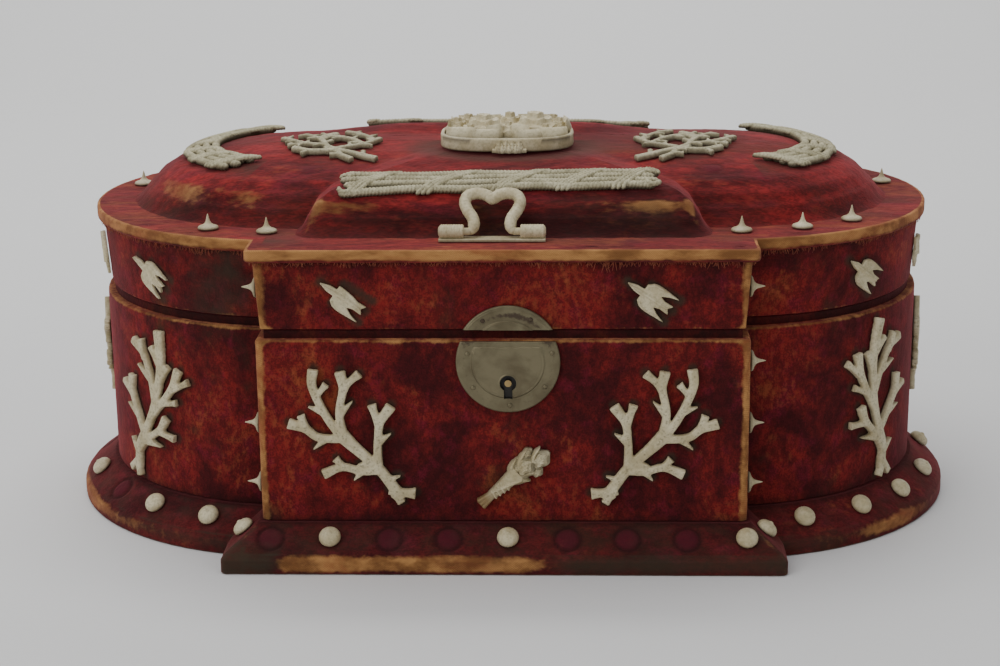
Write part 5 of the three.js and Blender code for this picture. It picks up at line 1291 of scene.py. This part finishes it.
def garland(side):
    """Crescent of strands round the bow, thinner at the tips, with short strands slanting over it in pairs."""
    def place(u, v, w):
        return on_dome(side * (BOW_X + v * np.cos(u)), -side * v * np.sin(u), w + 0.1)
    parts = []
    span = np.radians(64)
    for i, radius in enumerate((38.0, 41.5, 45.0, 48.5)):
        reach = span * (1 - 0.04 * (i % 2) - 0.03 * i)
        u = np.linspace(-reach, reach * (0.97 - 0.03 * (i == 2)), 420)
        v = radius + (43.5 - radius) * 0.25 * (u / span) ** 2 + 0.3 * np.sin(9 * u + i)
        parts.append(strand_on(place, np.stack([u, v], -1), 1.6, 0.85))
    for k in range(7):
        centre = span * (k - 3) / 3.5
        slant = 0.17 * (1 if k < 3 else -1 if k > 3 else 0.2)
        t = np.linspace(0, 1, 110)
        hump = 0.7 + 1.4 * np.sin(np.pi * np.clip(t, 0.02, 0.98)) ** 0.5
        for shift in (-0.038, 0.0, 0.038):
            line = np.stack([centre + shift + slant * (t - 0.5) * 2, 36.4 + 14.4 * t], -1)
            parts.append(strand_on(place, line, 0.95, hump))
    return shadowed(together(parts))


for side, word in ((-1, "front"), (1, "back")):
    piece(f"rope_{word}_carved", rope_bundle(side), [bone_dusty], "lid", [f"rope_bundle_{word}"])
for side, word in ((-1, "left"), (1, "right")):
    piece(f"garland_{word}_carved", garland(side), [bone_dusty], "lid", [f"garland_{word}"])


# Studs

LEDGE_REACH = 75    # of the row of spires, from the middle of the round end
SPIRE = [(3.4, 0), (3.95, 0.15), (4.0, 0.5), (3.7, 0.95), (3.2, 1.2), (2.5, 1.4), (1.75, 1.8), (1.2, 2.3),
         (0.85, 3.0), (0.6, 3.9), (0.36, 4.9), (0.1, 5.75)]
BEAD = [(3.5, 0), (4.0, 0.2), (4.12, 0.7), (4.05, 1.3), (3.8, 2.0), (3.3, 2.65), (2.6, 3.15), (1.8, 3.45),
        (1.2, 3.6), (0.95, 3.72), (0.6, 4.05), (0.15, 4.18)]


def studded(name, profile, seat, out, body):
    """Turned stud with its axis out of the surface."""
    out = np.asarray(out, float)
    turn = np.array(Vector((0, 0, 1)).rotation_difference(Vector(out)).to_matrix())
    shape = turned_piece(profile)
    height = profile[-1][1]
    # Painted shade at the foot of the stud, where it meets the surface
    shape.masks["low"] = np.clip(1 - shape.verts[:, 2] / (0.3 * height), 0, 1) * 0.8
    shape.verts = shape.verts @ turn.T + np.asarray(seat) + out * GAP
    piece(name + "_turned", shape, [bone_clean], body, [name])


for side, word, places in ((-1, "left", (5.6, 24, 104)), (1, "right", (5.6, 24, 42.4, 104))):
    for i, degrees in enumerate(places):
        a = np.radians(degrees)
        seat = (side * (BOW_X + LEDGE_REACH * np.sin(a)), -LEDGE_REACH * np.cos(a), BOARD_TOP)
        studded(f"ledge_stud_{word}_{i + 1}", SPIRE, seat, (0, 0, 1), "lid")
slope = np.array([SLOPE_FOOT - 1, 16 - 7.4])
bow_slope_y = np.sqrt((BODY_RADIUS + BEAD_OFFSET) ** 2 - (BLOCK_HALF + BEAD_OFFSET - BOW_X) ** 2)
RETURN_BEAD_Y = -(bow_slope_y + BLOCK_DEPTH + BEAD_OFFSET) / 2
slope_out, slope_up = slope[1] / np.hypot(*slope), slope[0] / np.hypot(*slope)
for i, x in enumerate((-64.8, 1.8, 90.6)):
    studded(f"plinth_stud_front_{i + 1}", BEAD, (x, -(BLOCK_DEPTH + BEAD_OFFSET), BEAD_Z),
            (0, -slope_out, slope_up), "box")
for side, word in ((-1, "left"), (1, "right")):
    studded(f"plinth_stud_return_{word}", BEAD, (side * (BLOCK_HALF + BEAD_OFFSET), RETURN_BEAD_Y, BEAD_Z),
            (side * slope_out, 0, slope_up), "box")
    for i, degrees in enumerate(BEAD_PRESENT[side]):
        a = np.radians(degrees)
        reach = BODY_RADIUS + BEAD_OFFSET
        seat = (side * (BOW_X + reach * np.sin(a)), -reach * np.cos(a), BEAD_Z)
        out = (side * np.sin(a) * slope_out, -np.cos(a) * slope_out, slope_up)
        studded(f"plinth_stud_{word}_{i + 1}", BEAD, seat, out, "box")
    return_y = -(BLOCK_DEPTH + BODY_RADIUS) / 2
    for i, z in enumerate((29, 52.5) if side < 0 else (29, 52.5, 76.6)):
        studded(f"return_stud_{word}_{i + 1}", SPIRE, (side * BLOCK_HALF, return_y, z), (side, 0, 0), "box")
    seat = (side * (BLOCK_HALF - lid_inset(105)), return_y, 105)
    studded(f"return_stud_lid_{word}", SPIRE, seat, (side, 0, 0), "lid")


# Lock and strike plate

LOCK_X, LOCK_Z, KEY_Z = 2.2, 78.6, 70.8
LOCK_RADIUS, DISC_RADIUS, LOCK_TOP = 19.2, 13.6, 86.5
STRIKE_Z, STRIKE_FOOT = 80.6, 90.5
NAIL = [(0.9, 0.9), (0.88, 1.3), (0.7, 1.5), (0.35, 1.6), (0.08, 1.62)]


def make_lock():
    """Height field on a polar grid about the keyhole: plate, raised disc with a bright rim, and the keyhole."""
    a = np.linspace(0, 2 * np.pi, 256, endpoint=False)[None]
    dx, dz = np.cos(a), np.sin(a)
    away = LOCK_Z - KEY_Z
    b = -dz * away
    reach = -b + np.sqrt(b ** 2 + LOCK_RADIUS ** 2 - away ** 2)
    cut = np.where(dz > 1e-3, (LOCK_TOP - KEY_Z) / np.maximum(dz, 1e-3), 1e9)
    reach = np.minimum(reach, cut)
    core = np.concatenate([np.linspace(0.05, 1.3, 5), [1.4, 2.9, 3.05], np.linspace(3.2, 6.4, 16)])[:, None]
    rest = 6.4 + (reach - 6.4) * np.linspace(0, 1, 60)[1:, None] ** 0.9
    r = np.concatenate([core + 0 * a, np.maximum(rest, 6.4 + 0 * a)])
    r = np.minimum(r, reach)
    x, z = LOCK_X + r * dx, KEY_Z + r * dz
    from_centre = np.hypot(x - LOCK_X, z - LOCK_Z)
    on_disc = np.clip((DISC_RADIUS - from_centre) / 0.35, 0, 1) * np.clip((84.6 - z) / 0.35, 0, 1)
    groove = near(from_centre, 12.6, 0.35) * (z < 84.0)
    edge = np.clip((LOCK_RADIUS - from_centre) / 0.5, 0, 1) * np.clip((LOCK_TOP - z) / 0.4, 0, 1)
    lift = 0.75 + 0.4 * edge ** 0.5 + 0.6 * on_disc - 0.12 * groove
    hole = ((r > 1.35) & (r < 2.95)) | ((np.abs(x - LOCK_X) < 1.5) & (z < KEY_Z) & (z > 64.9) & (r > 1.35))
    lift = np.where(hole, 0.1, lift)
    ring = near(r, 3.2, 0.3) * (z > KEY_Z - 1.5)
    lift = lift + 0.25 * ring * ~hole
    grid = on_front(x, z, lift)
    tarnish = 0.55 * near(from_centre, 16.5, 2.2) + 0.4 * np.clip((z - 84) / 2, 0, 1)
    stain = np.clip(tarnish + 0.3 * near(r, 3.5, 2), 0, 1)
    front = skin(grid[::-1], masks={"stain": stain[::-1], "dark": (hole * 1.0)[::-1]})
    rim = np.stack([grid[-1], on_front(x[-1], z[-1], 0 * x[-1])])
    wall = skin(rim[::-1], masks={"stain": 0.7 + 0 * rim[..., 0]})
    wall.caps = wall.caps[:1]
    wall.cap_slots = [0]
    front.caps = front.caps[1:]
    # The keyhole's floor takes the near-black material: painted shade for the inside of the hole
    dark = front.masks["dark"][front.quads].mean(1) > 0.2
    post = np.hypot(front.verts[front.quads, 0] - LOCK_X, front.verts[front.quads, 2] - KEY_Z).max(1) < 1.36
    front.slots = np.where(post, 2, dark)
    front.cap_slots = [2]
    nails = []
    for px, pz in ((-14.9, 3.4), (16.2, 3.7), (0.6, -16.4), (-12.9, -9.6), (13.6, -9.2)):
        nails.append(laid(turned_piece(NAIL, 16),
                          lambda u, v, w, px=px, pz=pz: on_front(LOCK_X + px + u, LOCK_Z + pz + v, w)))
    whole = together([front, wall] + nails)
    whole.masks.pop("dark")
    piece("lock_plate", whole, [nickel, keyhole_shade, brass], "box", ["lock"], sharp=50)


def make_strike():
    """Half plate over the joint: rows from its straight foot up to its arc, with a raised inner arc."""
    centre, cut = STRIKE_Z, STRIKE_FOOT
    theta = np.arcsin((cut - centre) / LOCK_RADIUS)
    a = np.linspace(theta, np.pi - theta, 120)
    inner_theta = (cut - centre) / np.sin(a)
    t = np.linspace(0, 1, 44)[:, None] ** 0.95
    r = inner_theta * (1 - t) + LOCK_RADIUS * t
    x, z = LOCK_X + r * np.cos(a), centre + r * np.sin(a)
    on_disc = np.clip((DISC_RADIUS - r) / 0.35, 0, 1)
    edge = np.clip((LOCK_RADIUS - r) / 0.5, 0, 1)
    lift = 0.75 + 0.42 * edge ** 0.5 + 0.55 * on_disc - 0.1 * near(r, 12.6, 0.3) + 0.18 * near(r, 17.9, 0.3)
    top = on_lid_front(x, z, lift)
    back = on_lid_front(x, z, 0 * lift)
    stain = np.clip(0.9 * near(r, 15.6, 1.6) * (0.5 + 0.5 * near(x, LOCK_X + 4, 9)) + 0.1, 0, 1)
    front = skin(top[:, ::-1], closed=False, masks={"stain": stain[:, ::-1]})
    behind = skin(back, closed=False)
    around = [np.stack([back[-1], top[-1]]), np.stack([top[0], back[0]]),
              np.stack([top[:, 0], back[:, 0]]), np.stack([back[:, -1], top[:, -1]])]
    sides = [skin(g, closed=False) for g in around]
    nails = []
    for px, pz in ((-9.2, 13.4), (8.4, 13.9)):
        nails.append(laid(turned_piece(NAIL, 16),
                          lambda u, v, w, px=px, pz=pz: on_lid_front(LOCK_X + px + u, centre + pz + v, w)))
    for nail in nails:
        nail.masks["stain"] = np.ones(len(nail.verts))
    whole = together([front, behind] + sides + nails)
    piece("strike_plate_sheet", whole, [nickel], "lid", ["strike_plate"], sharp=50)


make_lock()
make_strike()


# Pull and hinges

def along_x(profile, y, z, sides=36):
    """Lathe about a line that runs along X, through profile points (x, radius)."""
    p = np.asarray(profile, float)
    a = np.linspace(0, 2 * np.pi, sides, endpoint=False)
    grid = np.stack([np.repeat(p[:, :1], sides, 1), y + p[:, 1:2] * np.cos(a), z + p[:, 1:2] * np.sin(a)], -1)
    return skin(grid)


def make_pull():
    """Two ringed barrels on a thin strip."""
    px, py, pz = PULL
    parts = []
    for side in (-1, 1):
        t = np.linspace(0, 9.4, 64)
        radius = 2.6 - 0.09 * (np.sin(t * 2 * np.pi / 0.95) > 0.55) * (t > 1.0) * (t < 8.4)
        tip = 1.3 * np.clip((t - 8.0) / 1.4, 0, 1) ** 2.2
        radius = radius - 0.35 * np.clip((0.5 - t) / 0.5, 0, 1) ** 2 - tip
        profile = np.stack([px + side * (10.4 + t), radius], -1)
        profile = profile if side > 0 else profile[::-1]
        parts.append(along_x(profile, py, pz))
    strip = fillet([(-3.0, 0, 0), (-3.0, 0.9, 0.3), (3.0, 0.9, 0.3), (3.0, 0, 0)], 0.5)
    xs = np.linspace(px - 19.6, px + 19.6, 60)
    grid = np.stack([np.repeat(xs[:, None], len(strip), 1), py + strip[None, :, 0] + 0 * xs[:, None],
                     BOARD_TOP + GAP + strip[None, :, 1] + 0 * xs[:, None]], -1)
    parts.append(skin(grid[:, ::-1]))
    whole = together(parts)
    # Painted shade low down, where the barrels sit on the board
    whole.masks["low"] = np.clip(1 - (whole.verts[:, 2] - 121.8) / 1.2, 0, 1) * 0.6
    piece("pull_barrels", whole, [bone_clean], "lid", ["pull_mount"], sharp=45)


BAIL = [(0.9, 0), (0.74, 0.04), (0.66, 0.16), (0.7, 0.34), (0.9, 0.56), (1, 0.76), (0.88, 0.94), (0.55, 1),
        (0.22, 0.95), (0, 0.86)]


def make_bail():
    """Heart-topped bail: a round bar carried along the half line and its mirror, leaning back on the dome."""
    px, py, pz = PULL
    lean = np.radians(50)
    half = np.array(BAIL) * [10.2, 15.8]
    line = np.concatenate([half * [-1, 1], half[::-1][1:]])
    flat = smooth_path(line, 220)
    path = np.stack([px + flat[:, 0], py + flat[:, 1] * np.cos(lean), pz + flat[:, 1] * np.sin(lean)], -1)
    bar = rope(path, 2.2, 1.5, ply=2, sides=24, up=(0, -np.sin(lean), np.cos(lean)), depth=0.02)
    pins = []
    for side in (-1, 1):
        pin = [(px + side * 7.9, 1.35), (px + side * 12, 1.4), (px + side * 15.9, 1.4)]
        pins.append(along_x(pin[::side], py, pz, 20))
    piece("bail_bar", together([bar] + pins), [bone_clean], "pull", ["pull_bail"])


def make_hinges():
    """Butt hinges: leaves with softened edges and three round screw heads, and knuckles about the axis."""
    axis_y, axis_z = 87.1, 88.5
    for side, word in ((-1, "left"), (1, "right")):
        x = side * 55
        for part in ("body", "lid"):
            up = part == "lid"
            shapes = []
            low, high = (91.0, 103.0) if up else (74.0, 86.0)
            section = fillet([(0, 0, 0), (0, 1.15, 0.35), (1, 1.15, 0.35), (1, 0, 0)], 0.3)
            xs = np.linspace(x - 20, x + 20, 50)
            zs = low + (high - low) * section[:, 0]
            base = (lambda z: BODY_RADIUS - lid_inset(z) + GAP) if up else (lambda z: BODY_RADIUS + GAP + 0 * z)
            ys = base(zs) + section[:, 1]
            grid = np.stack(np.broadcast_arrays(xs[:, None], ys[None], zs[None]), -1)
            shapes.append(skin(grid))
            for u in (-14, 0, 14):
                z = (low + high) / 2
                y = float(base(np.array(z))) + 1.1
                head = turned_piece([(1.7, -0.2), (1.65, 0.25), (1.2, 0.5), (0.6, 0.6), (0.1, 0.62)], 18)
                head = laid(head, lambda p, q, w, u=u, y=y, z=z: np.stack([x + u - p, y + w, z + q], -1))
                shapes.append(head)
            spans = [(-6.6, 6.6)] if up else [(-20, -7), (7, 20)]
            for a, b in spans:
                knuckle = [(x + a, 1.9), (x + a + 0.3, 2.2), (x + b - 0.3, 2.2), (x + b, 1.9)]
                shapes.append(along_x(knuckle, axis_y, axis_z, 24))
                ear = np.array([(0.2, 0.9), (1.3, 0.9), (1.9, 0.0), (0.9, 0.0)])
                ear_z = axis_z + (3.1 if up else -3.1) * ear[:, 1]
                ear_y = BODY_RADIUS + (-1.8 if up else 0.3) + ear[:, 0]
                ends = np.array([[x + a], [x + b]])
                grid = np.stack(np.broadcast_arrays(ends, ear_y[None], ear_z[None]), -1)
                shapes.append(skin(grid if not up else grid[:, ::-1]))
            if not up:
                pin = [(x - 20.2, 0.6), (x - 20.1, 0.95), (x + 20.1, 0.95), (x + 20.2, 0.6)]
                shapes.append(along_x(pin, axis_y, axis_z, 16))
            body = "lid" if up else "box"
            piece(f"hinge_{word}_{part}_leaf", together(shapes), [brass], body, [f"hinge_{word}_{part}"],
                  sharp=40)


make_pull()
make_bail()
make_hinges()


# Floor, lights and camera

def make_studio():
    """Pale floor that curves up into the backdrop, and four soft lights."""
    t = np.linspace(0, 1, 60)
    y = np.concatenate([np.linspace(-2.5, 1.0, 30), 1.0 + 1.2 * np.sin(t * np.pi / 2), [2.2]])
    z = np.concatenate([np.zeros(30), 1.2 - 1.2 * np.cos(t * np.pi / 2), [4.5]])
    x = np.linspace(-3.5, 3.5, 12)
    grid = np.stack([np.repeat(x[None], len(y), 0), np.repeat(y[:, None], 12, 1),
                     np.repeat(z[:, None], 12, 1)], -1)
    mesh = mesh_of("floor_sweep", skin(grid, closed=False), 1.0)
    floor_material, tree, shader = blank("paper_sweep")
    tone = mix(tree, noise(tree, place_of(tree), 1.2, 2, 0.5), (0.73, 0.725, 0.715), (0.76, 0.755, 0.745))
    tree.links.new(tone, shader.inputs["Base Color"])
    shader.inputs["Roughness"].default_value = 0.7
    shader.inputs["Specular IOR Level"].default_value = 0.2
    mesh.materials.append(floor_material)
    floor = bpy.data.objects.new("floor_sweep", mesh)
    bpy.context.collection.objects.link(floor)
    world = bpy.context.scene.world or bpy.data.worlds.new("studio")
    bpy.context.scene.world = world
    world.use_nodes = True
    world.node_tree.nodes["Background"].inputs[0].default_value = (0.82, 0.85, 0.9, 1)
    world.node_tree.nodes["Background"].inputs[1].default_value = 0.35
    for name, at, look, size, power in (
            ("light_over", (-0.3, 0.1, 1.5), (0, 0, 0.05), 1.6, 16),
            ("light_front_left", (-1.3, -1.5, 1.0), (0, 0, 0.06), 1.2, 13.5),
            ("light_front_right", (1.4, -1.3, 0.9), (0, 0, 0.06), 1.2, 4),
            ("light_backdrop", (0, 0.9, 2.2), (0, 2.6, 0.9), 1.5, 34)):
        lamp = bpy.data.lights.new(name, "AREA")
        lamp.shape = "SQUARE"
        lamp.size = size
        lamp.energy = power
        holder = bpy.data.objects.new(name, lamp)
        holder.location = at
        holder.rotation_euler = (Vector(look) - Vector(at)).to_track_quat("-Z", "Y").to_euler()
        bpy.context.collection.objects.link(holder)


def make_camera():
    """Camera fitted to the photograph: yaw, tilt down and a slight roll."""
    yaw, pitch, roll = np.radians([2.115, 15.567, -0.605])
    forward = Vector((-np.sin(yaw) * np.cos(pitch), np.cos(yaw) * np.cos(pitch), -np.sin(pitch)))
    right = Vector((np.cos(yaw), np.sin(yaw), 0))
    up = right.cross(forward)
    turned_right = np.cos(roll) * right + np.sin(roll) * up
    turned_up = -np.sin(roll) * right + np.cos(roll) * up
    data = bpy.data.cameras.new("camera")
    data.lens = 36.0 * 2001 / 1000
    data.sensor_width = 36.0
    holder = bpy.data.objects.new("camera", data)
    turn = Matrix((turned_right, turned_up, -forward)).transposed().to_4x4()
    holder.matrix_world = Matrix.Translation(Vector((25.4, -805.6, 286.0)) * MM) @ turn
    bpy.context.collection.objects.link(holder)
    bpy.context.scene.camera = holder


make_studio()
make_camera()
